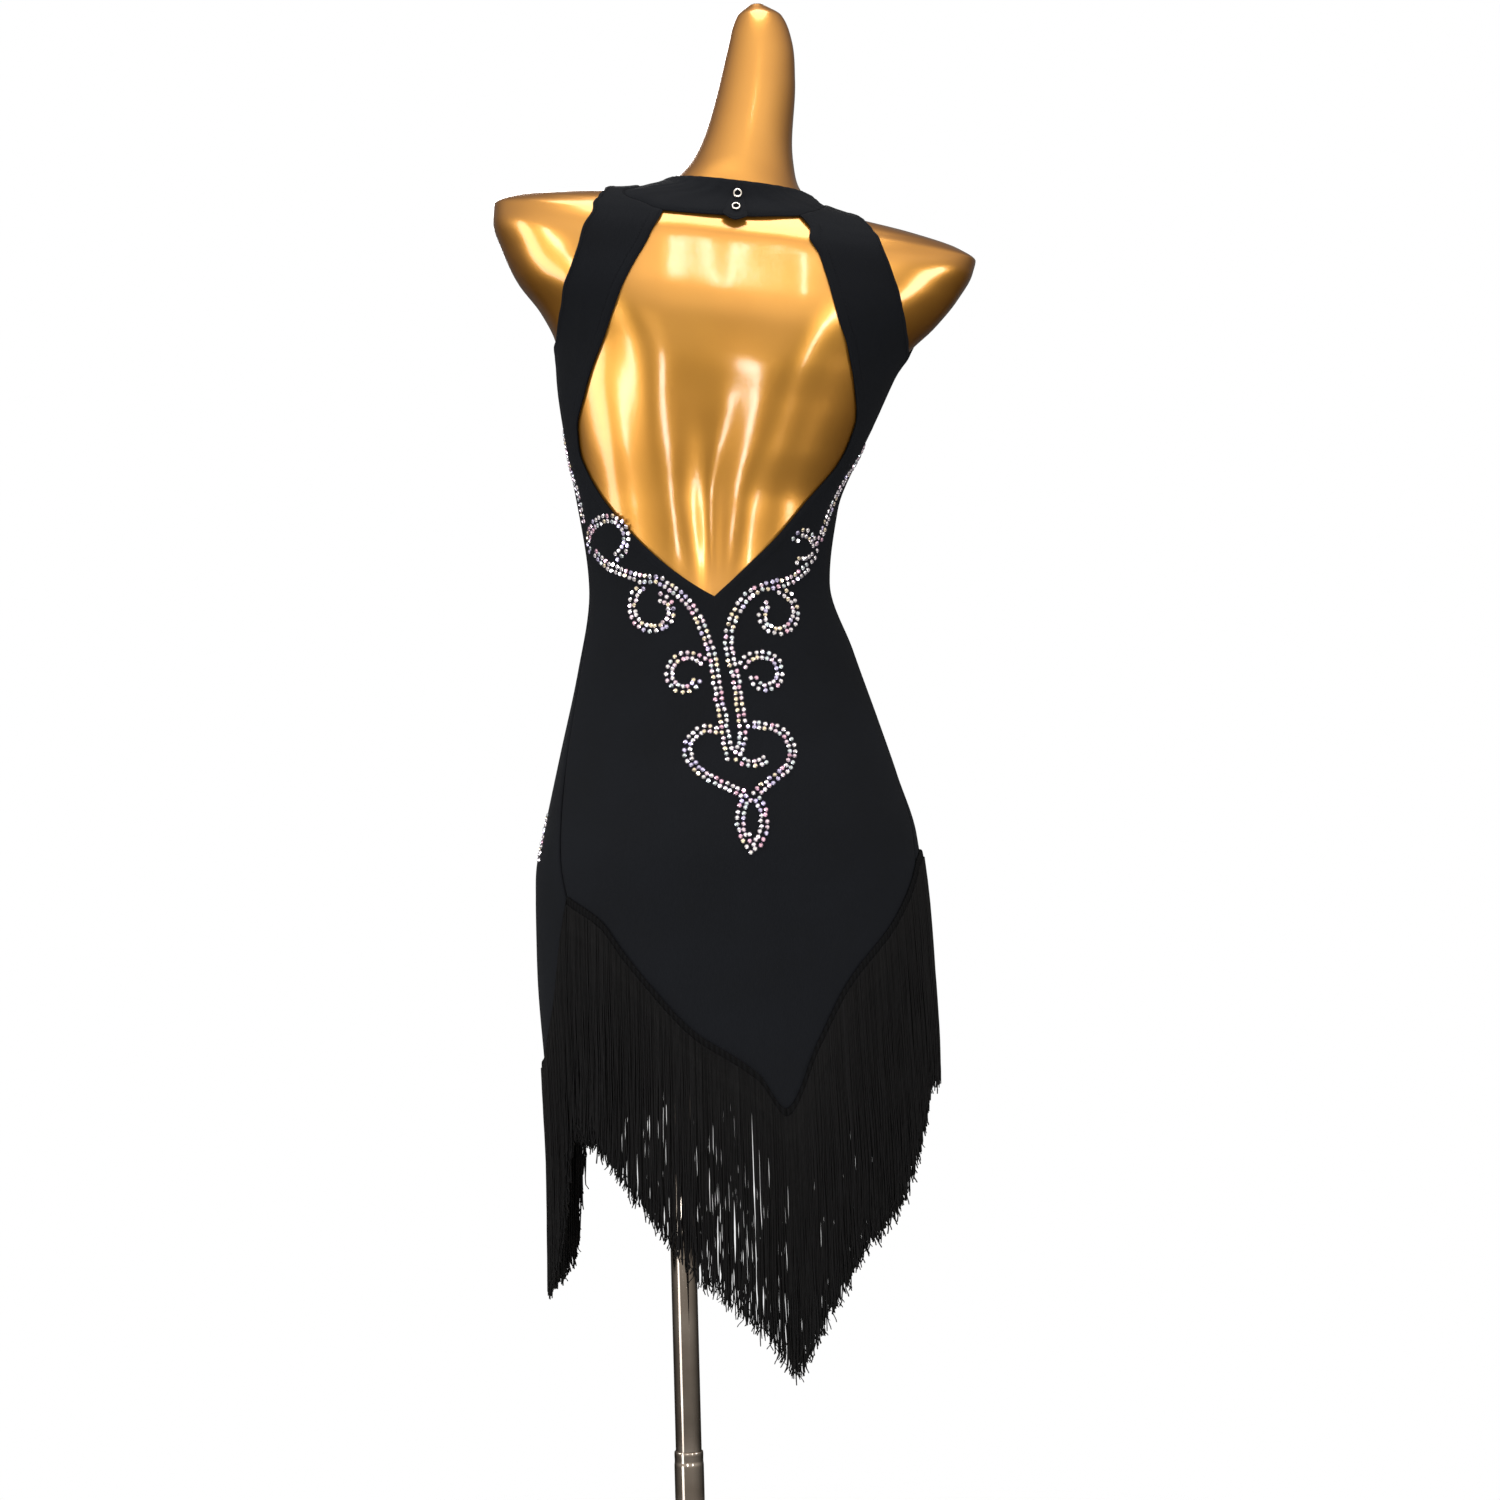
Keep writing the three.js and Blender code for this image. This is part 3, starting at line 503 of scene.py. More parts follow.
def many(template, faces, places, frames):
    """Copies of a small template mesh: at each place, its x, y and z run along that place's frame."""
    points = places[:, None, :] + np.einsum("tk,nkc->ntc", template, frames)
    shift = np.arange(len(places))[:, None, None] * len(template)
    return points.reshape(-1, 3), (faces[None] + shift).reshape(-1, faces.shape[1])


# ---- cloth ----
MM_PER_DEGREE = 2.4  # how far a degree runs round the dress on average, for the weave's scale
LEVELS = np.linspace(WAIST, HIPS, 24)[1:]  # level lines from the waist to the hips


def nearest(points, line):
    """Distance in mm from each point to the nearest point of a dense line."""
    squares = (points**2).sum(-1)[..., None] + (line**2).sum(-1) - 2 * points @ line.T
    return np.sqrt(np.maximum(squares.min(-1), 0))


def path(height, angle, count=500, out=CLOTH_FACE):
    """Points on the cloth along a smooth curve through a list of (height, angle) places."""
    at = np.arange(len(height))
    along = np.linspace(0, len(height) - 1, count)
    return on_gown(curve(at, height)(along), curve(at, angle)(along), out)


def fold_relief(distance, width, roll):
    """Offset near a finished edge: the folded strip stands 0.5 mm proud out to its width, the line of
    stitches there sinks 0.5 mm, and the edge itself rolls in by roll * exp(-(d / 1.6)^2)."""
    strip = 0.5 * (1 - ramp(distance, width - 0.6, width + 1.6))
    sunk = 0.5 * np.exp(-(((distance - width + 0.9) / 0.9) ** 2))
    return strip - sunk - roll * np.exp(-((distance / 1.6) ** 2))


def seam_relief(distance):
    """Offset near a sewn seam: the cloth turns in by 1.3 mm and puffs 0.25 mm beside it."""
    return 0.25 * np.exp(-(((distance - 5) / 3.5) ** 2)) - 1.3 * np.exp(-((distance / 1.5) ** 2))


def creases(points, rows):
    """Soft troughs and ridges: each follows the chord between two places on the cloth, fades to both
    ends as sin(pi t), and falls off across it as exp(-(d / wide)^2)."""
    total = np.zeros(points.shape[:-1])
    for h0, a0, h1, a1, deep, wide in rows:
        start, end = on_gown(h0, a0, CLOTH_FACE), on_gown(h1, a1, CLOTH_FACE)
        line = end - start
        t = np.clip(((points - start) @ line) / (line @ line), 0, 1)
        away = np.linalg.norm(points - (start + t[..., None] * line), axis=-1)
        total += deep * np.sin(np.pi * t) * np.exp(-((away / wide) ** 2))
    return total


def cloth_shell(name, grids, offset, thick=CLOTH):
    """A shell over grids of (height, angle) places, which join where they share places. offset gives
    the outer face's distance from the figure, the inner face lies thick mm under it, and the rim
    between them bulges by 0.45 * thick, away from the cloth."""
    places, quads, start = [], [], 0
    for height, angle in grids:
        places.append(np.stack([height.ravel(), angle.ravel()], -1))
        quads.append(grid_quads(*height.shape) + start)
        start += height.size
    keys, first, index = np.unique(
        np.round(np.concatenate(places), 3), axis=0, return_index=True, return_inverse=True
    )
    quads = index.reshape(-1)[np.concatenate(quads)]
    height, angle = keys.T
    count = len(keys)
    out = offset(on_gown(height, angle, CLOTH_FACE), height, angle)
    outer, inner = on_gown(height, angle, out), on_gown(height, angle, out - thick)
    sides = np.concatenate([quads[:, [k, (k + 1) % 4]] for k in range(4)])
    open_side = ~np.isin(sides[:, 0] * count + sides[:, 1], sides[:, 1] * count + sides[:, 0])
    a, b = sides[open_side].T
    away = np.zeros((count, 3))
    outwards = np.cross(unit(outer[b] - outer[a]), unit(outer[a] - inner[a]))
    np.add.at(away, a, outwards)
    np.add.at(away, b, outwards)
    middle = (outer + inner) / 2 + unit(away) * 0.45 * thick
    rim = np.concatenate([
        np.stack([b, a, a + 2 * count, b + 2 * count], -1),
        np.stack([b + 2 * count, a + 2 * count, a + count, b + count], -1),
    ])
    points = np.concatenate([outer, inner, middle])
    used, compact = np.unique(np.concatenate([quads, quads[:, ::-1] + count, rim]), return_inverse=True)
    uv = np.tile(np.stack([angle * MM_PER_DEGREE, height], -1), (3, 1))
    return add_mesh(name, points[used], compact.reshape(-1, 4), uv=uv[used])


def back_half(strap, side, columns=60):
    """Half of the back as a grid of places, from its shoulder down to the hem: lines across the strap,
    level lines to the hips, then straight down to the hem."""
    sign = 1 if side == "left" else -1
    share = towards_ends(columns)
    row = np.arange(len(strap["arm_height"]))
    fine = np.linspace(0, row[-1], 8 * row[-1] + 1)[:, None]
    at = {name: curve(row, strap[name])(fine) for name in strap}
    sewn = collar_low(at["open_angle"]) - SEAM
    height = lerp(at["arm_height"], np.where(fine <= CORNER, sewn, at["open_height"]), share)
    angle = lerp(at["arm_angle"], at["open_angle"], share)
    level = LEVELS[:, None]
    seam = inset(level, seams[side](level), sign * SEAM / 2)
    height = np.concatenate([height, level + 0 * share])
    angle = np.concatenate([angle, lerp(seam, centre_back(level), share)])
    edge = SIDE_SEAMS[side][0]
    hem_angle = lerp(inset(back_hem(edge), edge, sign * SEAM / 2), BACK_POINT, share)
    down = (steps(36)[1:] ** HEM_CROWD)[:, None]
    height = np.concatenate([height, lerp(HIPS, back_hem(hem_angle), down)])
    angle = np.concatenate([angle, lerp(angle[-1], hem_angle, down)])
    return height[:, ::sign], angle[:, ::sign]


def front_grid():
    """The front as one grid of places: the neck, bowed lines across the bodice, level lines between
    the side seams, then down to the hem with its tail."""
    steep_from, steep_to = -52.0, -35.0  # where the hem drops to the tail, and columns crowd
    columns = np.concatenate([
        np.linspace(RIGHT_END, steep_from, 140, endpoint=False),
        np.linspace(steep_from, steep_to, 42, endpoint=False),
        np.linspace(steep_to, LEFT_END, 66),
    ])
    share = (columns - RIGHT_END) / (LEFT_END - RIGHT_END)
    neck_angle = lerp(-179.91, -0.09, share)
    neck = collar_low(neck_angle) - SEAM
    row = np.arange(len(BODICE["middle"]))
    fine = np.linspace(0, row[-1], 7 * row[-1] + 1)[:, None]
    at = {name: curve(row, BODICE[name])(fine) for name in BODICE}
    across = lerp(at["right_angle"], at["left_angle"], share)
    drop = (
        (collar_low(at["right_angle"]) - at["right_height"]) * (1 - share) * (1 - 2 * share)
        + 4 * (collar_low(-90) - at["middle"]) * share * (1 - share)
        + (collar_low(at["left_angle"]) - at["left_height"]) * share * (2 * share - 1)
    )
    bowed = collar_low((across + 180) % 360 - 180) - drop
    near = steps(4)[:-1, None]
    height = np.concatenate([lerp(neck, bowed[0], near), bowed])
    angle = np.concatenate([lerp(neck_angle, across[0], near), across])
    left, right = STRAP_LEFT["arm_height"][UNDERARM:], STRAP_RIGHT["arm_height"][UNDERARM:]
    row = np.arange(len(left))
    fine = np.linspace(0, row[-1], 6 * row[-1] + 1)[1:]
    left = np.concatenate([curve(row, left)(fine), LEVELS])[:, None]
    right = np.concatenate([curve(row, right)(fine), LEVELS])[:, None]
    from_angle = inset(right, seams["right"](right) - 360, SEAM / 2)
    to_angle = inset(left, seams["left"](left), -SEAM)
    height = np.concatenate([height, lerp(right, left, share)])
    angle = np.concatenate([angle, lerp(from_angle, to_angle, share)])
    ends = [inset(front_hem(end), end, gap) for end, gap in ((RIGHT_END, SEAM / 2), (LEFT_END, -SEAM / 2))]
    hem_angle = lerp(*ends, share)
    down = (steps(34)[1:] ** HEM_CROWD)[:, None]
    height = np.concatenate([height, lerp(height[-1], front_hem(hem_angle), down)])
    angle = np.concatenate([angle, lerp(angle[-1], hem_angle, down)])
    return height, angle


OPEN_EDGES = [
    path(strap["open_height"][CORNER:], strap["open_angle"][CORNER:]) for strap in (STRAP_LEFT, STRAP_RIGHT)
]
ARM_EDGES = [
    path(strap["arm_height"][: UNDERARM + 1], strap["arm_angle"][: UNDERARM + 1])
    for strap in (STRAP_LEFT, STRAP_RIGHT)
]
FRONT_ARM_EDGES = [path(BODICE[side + "_height"], BODICE[side + "_angle"]) for side in ("left", "right")]
SEAM_LINES = [path(SIDE_SEAMS["height"][:-1], SIDE_SEAMS[side][:-1]) for side in ("left", "right")]
SEAM_LINES += [
    path(*([strap[edge + place][0] for edge in ("arm", "open")] for place in ("_height", "_angle")), 60)
    for strap in (STRAP_LEFT, STRAP_RIGHT)
]
NECK_ANGLES = np.linspace(-180, 180, 900)
NECK_LINE = on_gown(collar_low(NECK_ANGLES), NECK_ANGLES, CLOTH_FACE)
V_FOLD, ARM_FOLD = 9.0, 4.5  # mm turned in along the open back and the armholes

# Creases as the dress hangs: from and to a (height, angle), how deep (below 0) or proud, how wide.
BACK_CREASES = [
    (850, 97, 600, 103, -2.2, 9),
    (820, 104, 622, 106, 1.6, 8),
    (800, 90, 640, 92, 0.9, 10),
    (760, 78, 660, 77, -1.0, 8),
    (760, 121, 690, 122, -1.2, 9),
    (750, 60, 700, 62, 1.0, 9),
    (905, 14, 800, 30, -1.0, 7),
    (990, 15, 930, 40, -0.7, 7),
    (985, 168, 925, 148, -0.8, 7),
    (1040, 12, 1010, 34, 0.6, 5),
    (1046, 170, 1012, 152, 0.6, 5),
    (1330, 62, 1240, 40, -0.5, 3.5),
    (1300, 55, 1215, 28, 0.5, 4.0),
    (1338, 118, 1262, 142, -0.6, 3.5),
    (1320, 126, 1240, 152, 0.5, 4.0),
    (1384, 40, 1352, 66, -0.5, 3.0),
    (1388, 130, 1358, 112, -0.5, 3.0),
]
FRONT_CREASES = [
    (850, -90, 772, -92, -1.2, 9),
    (830, -130, 782, -134, 1.0, 10),
    (820, -60, 765, -58, -1.3, 9),
    (800, -20, 640, -22, -1.8, 10),
    (790, -4, 642, -4, 1.4, 9),
    (985, -8, 930, -40, -0.8, 7),
    (1000, -172, 940, -140, -0.8, 7),
    (1010, -60, 985, -110, 0.7, 6),
    (1200, -20, 1215, -50, -0.8, 6),
    (1220, -162, 1222, -130, -0.8, 6),
    (1340, -64, 1290, -50, 0.6, 5),
    (1345, -118, 1300, -132, 0.6, 5),
]


def back_offset(points, height, angle):
    """The back's outer face: folded strips at the V and armholes, turned-in seams and soft creases."""
    out = np.full(height.shape, CLOTH_FACE) + creases(points, BACK_CREASES)
    out += fold_relief(nearest(points, np.concatenate(OPEN_EDGES)), V_FOLD, 1.0)
    out += fold_relief(nearest(points, np.concatenate(ARM_EDGES)), ARM_FOLD, 1.0)
    out += seam_relief(nearest(points, np.concatenate(SEAM_LINES + [NECK_LINE])))
    return np.maximum(out, CLOTH + 0.3)


def front_offset(points, height, angle):
    """The front's outer face, as the back's."""
    out = np.full(height.shape, CLOTH_FACE) + creases(points, FRONT_CREASES)
    out += fold_relief(nearest(points, np.concatenate(FRONT_ARM_EDGES)), ARM_FOLD, 1.0)
    out += seam_relief(nearest(points, np.concatenate(SEAM_LINES + [NECK_LINE])))
    return np.maximum(out, CLOTH + 0.3)


# ---- materials ----
def linear(code):
    """An sRGB hex colour as linear red, green, blue and 1."""
    parts = [int(code[k : k + 2], 16) / 255 for k in (1, 3, 5)]
    return (*[p / 12.92 if p <= 0.04045 else ((p + 0.055) / 1.055) ** 2.4 for p in parts], 1.0)


def node(tree, kind, settings=(), inputs=()):
    """Adds a node with its settings, and its inputs as values or as other nodes' outputs."""
    made = tree.nodes.new(kind)
    for name, value in dict(settings).items():
        setattr(made, name, value)
    for name, value in dict(inputs).items():
        if isinstance(value, bpy.types.NodeSocket):
            tree.links.new(value, made.inputs[name])
        else:
            made.inputs[name].default_value = value
    return made


def material(name, finish):
    """A material whose shader gets the inputs that finish returns once it has made its own nodes."""
    made = bpy.data.materials.new(name)
    made.use_nodes = True
    tree = made.node_tree
    tree.nodes.clear()
    shader = node(tree, "ShaderNodeBsdfPrincipled", (), finish(tree))
    node(tree, "ShaderNodeOutputMaterial", (), {"Surface": shader.outputs[0]})
    return made


MIX, FROM, TO = {"data_type": "RGBA"}, 6, 7  # a colour mix: its setting and its two colour inputs
WALE, COURSE = 1.1, 0.9  # mm between the jersey's ribs and between its rows, as drawn


def jersey(tree):
    """Matt stretch jersey, knitted in nylon and elastane: near black with a blue cast, soft at the
    edges of a form, and ribbed by its rows of stitches. Real wales are 0.6 mm apart; they are drawn
    1.1 mm apart so that they show."""
    uv = node(tree, "ShaderNodeTexCoord").outputs["UV"]
    cloudy = node(tree, "ShaderNodeTexNoise", (), {"Vector": uv, "Scale": 14.0, "Detail": 3.0})
    dyes = {0: cloudy.outputs[0], FROM: linear("#090B0F"), TO: linear("#0E1117")}
    colour = node(tree, "ShaderNodeMix", MIX, dyes)
    parts = node(tree, "ShaderNodeSeparateXYZ", (), {0: uv})
    waves = []
    for axis, pitch in ((0, WALE), (1, COURSE)):
        run = {0: parts.outputs[axis], 1: TAU / (pitch * MM)}
        turn = node(tree, "ShaderNodeMath", {"operation": "MULTIPLY"}, run)
        wave = node(tree, "ShaderNodeMath", {"operation": "SINE"}, {0: turn.outputs[0]})
        waves.append(wave.outputs[0])
    ribs = {0: waves[0], 1: waves[1], 2: waves[0]}
    stitch = node(tree, "ShaderNodeMath", {"operation": "MULTIPLY_ADD"}, ribs)
    knit = {"Strength": 0.35, "Distance": 0.0002, "Height": stitch.outputs[0]}
    return {
        "Base Color": colour.outputs[2],
        "Roughness": 0.82,
        "IOR": 1.45,
        "Specular IOR Level": 0.14,
        "Sheen Weight": 0.02,
        "Sheen Roughness": 0.5,
        "Sheen Tint": linear("#9AA6B4"),
        "Normal": node(tree, "ShaderNodeBump", (), knit).outputs[0],
    }


def chainette(tree):
    """Twisted rayon chainette: black, a little warmer than the jersey, with a dull silky shine broken
    up by the twist of each strand. A real strand turns once in 2.5 mm; it is drawn turning once in
    10 mm so that it shows."""
    uv = node(tree, "ShaderNodeTexCoord").outputs["UV"]
    tint = node(tree, "ShaderNodeAttribute", {"attribute_name": "tint"}).outputs[0]
    lift = node(tree, "ShaderNodeSeparateColor", (), {0: tint}).outputs[0]
    colour = node(tree, "ShaderNodeMix", MIX, {0: lift, FROM: linear("#020203"), TO: linear("#08080A")})
    turns = {"Vector": uv, "Scale": 64.0, "Distortion": 0.6, "Detail": 1.0}
    twist = node(tree, "ShaderNodeTexWave", {"bands_direction": "DIAGONAL"}, turns)
    ply = {"Strength": 0.5, "Distance": 0.0002, "Height": twist.outputs[1]}
    return {
        "Base Color": colour.outputs[2],
        "Roughness": 0.6,
        "Specular IOR Level": 0.12,
        "Sheen Weight": 0.01,
        "Sheen Tint": linear("#9AA0A8"),
        "Normal": node(tree, "ShaderNodeBump", (), ply).outputs[0],
    }


def woven_header(tree):
    """The fringe's woven header: the same rayon in cross ribs 3.2 mm apart, one for each bundle, its colour
    darkened in the grooves between the ribs as painted shade.
    """
    uv = node(tree, "ShaderNodeTexCoord").outputs["UV"]
    weave = {"Vector": uv, "Scale": 98.0, "Distortion": 1.0}
    ribs = node(tree, "ShaderNodeTexWave", {"bands_direction": "X"}, weave).outputs[1]
    # Painted shade: the colour follows the ribs, darker in the grooves between them and lighter on their
    # crests.
    colour = node(tree, "ShaderNodeMix", MIX, {0: ribs, FROM: linear("#050506"), TO: linear("#0B0C0E")})
    relief = {"Strength": 0.6, "Distance": 0.0004, "Height": ribs}
    return {
        "Base Color": colour.outputs[2],
        "Roughness": 0.85,
        "Specular IOR Level": 0.08,
        "Normal": node(tree, "ShaderNodeBump", (), relief).outputs[0],
    }


def gold_lacquer(tree):
    """Pearl gold lacquer sprayed on a moulded shell: a metallic base under a clear glossy coat, with
    painted shade that darkens the base colour to brown at grazing angles, along the rims. The skin
    waves a little, over 70 mm across and 200 mm up, and carries a faint orange peel 6 mm across."""
    place = node(tree, "ShaderNodeTexCoord").outputs["Object"]
    cloudy = node(tree, "ShaderNodeTexNoise", (), {"Vector": place, "Scale": 9.0, "Detail": 4.0})
    golds = {0: cloudy.outputs[0], FROM: linear("#C98933"), TO: linear("#D99E40")}
    base = node(tree, "ShaderNodeMix", MIX, golds).outputs[2]
    # Painted shade: the base colour turns brown towards the rims, where the surface faces away from the
    # camera.
    painted_rim_shade = node(tree, "ShaderNodeLayerWeight", (), {"Blend": 0.42}).outputs[1]
    colour = node(tree, "ShaderNodeMix", MIX, {0: painted_rim_shade, FROM: base, TO: linear("#84490F")})
    tall = node(tree, "ShaderNodeMapping", (), {"Vector": place, "Scale": (14.0, 14.0, 5.0)})
    wave = node(tree, "ShaderNodeTexNoise", (), {"Vector": tall.outputs[0], "Scale": 1.0, "Detail": 1.0})
    peel = node(tree, "ShaderNodeTexNoise", (), {"Vector": place, "Scale": 160.0, "Detail": 1.0})
    skin = node(tree, "ShaderNodeBump", (), {"Strength": 1.0, "Distance": 0.005, "Height": wave.outputs[0]})
    fine = {"Strength": 0.05, "Distance": 0.0008, "Height": peel.outputs[0], "Normal": skin.outputs[0]}
    normal = node(tree, "ShaderNodeBump", (), fine).outputs[0]
    return {
        "Base Color": colour.outputs[2],
        "Metallic": 0.78,
        "Roughness": 0.33,
        "Coat Weight": 1.0,
        "Coat Roughness": 0.13,
        "Coat IOR": 1.5,
        "Normal": normal,
        "Coat Normal": normal,
    }


def plated(tint, roughness, brushed):
    """Plated metal: a mirror a little clouded by handling, with hair scratches along the piece."""

    def finish(tree):
        """The shader's inputs in the tint, roughness and brushing asked for."""
        place = node(tree, "ShaderNodeTexCoord").outputs["Object"]
        drawn = node(tree, "ShaderNodeMapping", (), {"Vector": place, "Scale": (900.0, 900.0, brushed)})
        scratches = {"Vector": drawn.outputs[0], "Scale": 1.0, "Detail": 2.0}
        hair = node(tree, "ShaderNodeTexNoise", (), scratches)
        smear = node(tree, "ShaderNodeTexNoise", (), {"Vector": place, "Scale": 22.0, "Detail": 3.0})
        tones = {0: smear.outputs[0], FROM: linear(tint), TO: linear("#C9C1B8")}
        clouded = {"Value": smear.outputs[0], "To Min": roughness, "To Max": roughness * 1.9}
        relief = {"Strength": 0.05, "Distance": 0.0002, "Height": hair.outputs[0]}
        return {
            "Base Color": node(tree, "ShaderNodeMix", MIX, tones).outputs[2],
            "Metallic": 1.0,
            "Roughness": node(tree, "ShaderNodeMapRange", (), clouded).outputs[0],
            "Normal": node(tree, "ShaderNodeBump", (), relief).outputs[0],
        }

    return finish


def coated_glass(tree):
    """Foil-backed glass with a rainbow coating: each stone mirrors the room in its own pale tint."""
    tint = node(tree, "ShaderNodeAttribute", {"attribute_name": "tint"}).outputs[0]
    facing = node(tree, "ShaderNodeLayerWeight", (), {"Blend": 0.5}).outputs[1]
    colour = node(tree, "ShaderNodeMix", MIX, {0: facing, FROM: tint, TO: linear("#C9B6E6")})
    return {
        "Base Color": colour.outputs[2],
        "Metallic": 0.85,
        "Roughness": 0.07,
        "IOR": 1.55,
        "Coat Weight": 1.0,
        "Coat Roughness": 0.03,
    }


JERSEY = material("matt_stretch_jersey", jersey)
RAYON = material("rayon_chainette", chainette)
HEADER = material("woven_rayon_header", woven_header)
GOLD = material("pearl_gold_lacquer", gold_lacquer)
STEEL = material("plated_steel", plated("#8E8176", 0.06, 18.0))
NICKEL = material("nickel_wire", plated("#D5D2CC", 0.16, 900.0))
CRYSTAL = material("aurora_coated_glass", coated_glass)


# ---- dress form ----
def dress_form():
    """The form's skin by height and angle, with a rounded lip round its flat bottom."""
    heights = np.concatenate([
        np.linspace(700, 1340, 150, endpoint=False),
        np.linspace(1340, 1412, 64, endpoint=False),
        np.linspace(1412, 1540, 56, endpoint=False),
        1540 + 27 * np.sin(steps(24) * np.pi / 2),
    ])
    angles = np.arange(0, 360, 2.0)
    rings = on_bare_form(heights[:, None], angles)
    middle = rings[0].mean(0)
    lip_steps = (0.35, 6.0), (0.9, 6.0), (0.945, 2.2), (0.965, 0.6), (0.985, -0.1)
    lip = [middle + (rings[0] - middle) * share + [0, 0, rise] for share, rise in lip_steps]
    top = rings[-1].mean(0)
    dome = [top + (rings[-1] - top) * share + [0, 0, rise] for share, rise in ((0.75, 0.7), (0.4, 1.1))]
    points, quads, fans = capped(np.concatenate([lip, rings, dome]))
    piece = add_mesh("form_shell", points, quads, fans, sharp=70)
    return dress_piece(piece, GOLD, "form_paint", "form_torso")


form_shell = dress_form()

# ---- dress panels ----
halves = [back_half(STRAP_LEFT, "left"), back_half(STRAP_RIGHT, "right")]
back = cloth_shell("back_cloth", halves, back_offset)
dress_piece(back, JERSEY, "jersey", "back_panel")
front = cloth_shell("front_cloth", [front_grid()], front_offset)
dress_piece(front, JERSEY, "jersey", "front_panel")


def collar():
    """The band round the neck, open at the centre back under the tab."""
    gap = inset(COLLAR_TOP, COLLAR_MEETS, SEAM) - COLLAR_MEETS
    angle = np.linspace(COLLAR_MEETS + gap - 360, COLLAR_MEETS - gap, 420)
    wrapped = (angle + 180) % 360 - 180
    share = towards_ends(14)[:, None]
    height = lerp(collar_low(wrapped), COLLAR_TOP, share)

    def puffed(points, height, angle):
        """The outer face: full over the band, in to its seam and over its folded top, with ripples."""
        top = COLLAR_TOP - height
        low = height - collar_low((angle + 180) % 360 - 180)
        ripple = 0.25 * np.sin(angle * 0.55) * np.sin(angle * 0.13 + 1)
        return CLOTH_FACE + 0.35 + ripple + seam_relief(low) + fold_relief(top, 5.0, 0.9)

    piece = cloth_shell("collar_cloth", [(height, angle + 0 * share)], puffed)
    return dress_piece(piece, JERSEY, "jersey", "collar_band")


collar_cloth = collar()


def closing_tab():
    """The tab over the collar's ends: its half height is height + point * (1 - |side|)."""
    side = towards_ends(16)[None, :] * 2 - 1
    up = towards_ends(28)[:, None] * 2 - 1
    reach = TAB["height"] + TAB["point"] * (1 - np.abs(side))
    degree = inset(TAB["middle"], COLLAR_MEETS, 1.0) - COLLAR_MEETS
    angle = COLLAR_MEETS + side * TAB["half"] * degree + 0 * up
    height = raised(TAB["middle"], angle, up * reach)
    rise = raised(TAB["middle"], COLLAR_MEETS, 1.0) - TAB["middle"]

    def rounded(points, height, angle):
        """The outer face: level, and folded over along the tab's outline."""
        side = (angle - COLLAR_MEETS) / (TAB["half"] * degree)
        reach = TAB["height"] + TAB["point"] * (1 - np.abs(side))
        edge = np.minimum(TAB["half"] * (1 - np.abs(side)), reach - np.abs(height - TAB["middle"]) / rise)
        return TAB["face"] + fold_relief(np.maximum(edge, 0), 2.4, 0.6)

    piece = cloth_shell("closing_tab", [(height, angle)], rounded, TAB["thick"])
    return dress_piece(piece, JERSEY, "jersey", "collar_tab")


tab_cloth = closing_tab()


def frame_at(height, angle, out):
    """A place on the cloth with the directions round it, up it and out of it."""
    here = on_gown(height, angle, out)
    around = unit(on_gown(height, angle + 0.2, out) - on_gown(height, angle - 0.2, out))
    outwards = unit(on_gown(height, angle, out + 1.0) - here)
    return here, np.stack([around, np.cross(outwards, around), outwards], -2)


def closing_ring(name, up, gap):
    """An oval wire eye: a torus stretched upwards by a sixth."""
    height = raised(TAB["middle"], COLLAR_MEETS, up)
    here, axes = frame_at(height, COLLAR_MEETS, TAB["face"] + gap + RING["wire"])
    rounds, sides = 40, 12
    big, small = np.meshgrid(steps(rounds)[:-1] * TAU, steps(sides)[:-1] * TAU, indexing="ij")
    reach = RING["radius"] + RING["wire"] * np.cos(small)
    local = np.stack([reach * np.cos(big), reach * np.sin(big) * 1.16, RING["wire"] * np.sin(small)], -1)
    points = here + local.reshape(-1, 3) @ axes
    quads = grid_quads(rounds, sides, wrap=True, close=True)
    return dress_piece(add_mesh(name + "_wire", points, quads), NICKEL, "closure_metal", name)


rings = [
    closing_ring("closure_ring_upper", RING["spacing"] / 2, RING["over_hollow"]),
    closing_ring("closure_ring_lower", -RING["spacing"] / 2, RING["over_flat"]),
]


# ---- stitching ----
STITCH = {"pitch": 3.0, "length": 2.1, "half": 0.22}


def along(points, pitch):
    """Points and directions every pitch mm along a dense line."""
    run = np.concatenate([[0], np.cumsum(np.linalg.norm(np.diff(points, axis=0), axis=1))])
    at = np.arange(pitch / 2, run[-1], pitch)
    here = np.stack([np.interp(at, run, points[:, k]) for k in range(3)], -1)
    ahead = np.stack([np.interp(at + 0.5, run, points[:, k]) for k in range(3)], -1)
    behind = np.stack([np.interp(at - 0.5, run, points[:, k]) for k in range(3)], -1)
    return here, unit(ahead - behind)


def outward_of(points):
    """The direction out of the figure at points near it, taken from its axis."""
    middle = np.stack([np.interp(points[:, 2], GOWN["height"], GOWN[k]) for k in ("across", "depth")], -1)
    away = points.copy()
    away[:, :2] -= middle
    away[:, 0] *= 0.55
    away[:, 2] = 0
    return unit(away)


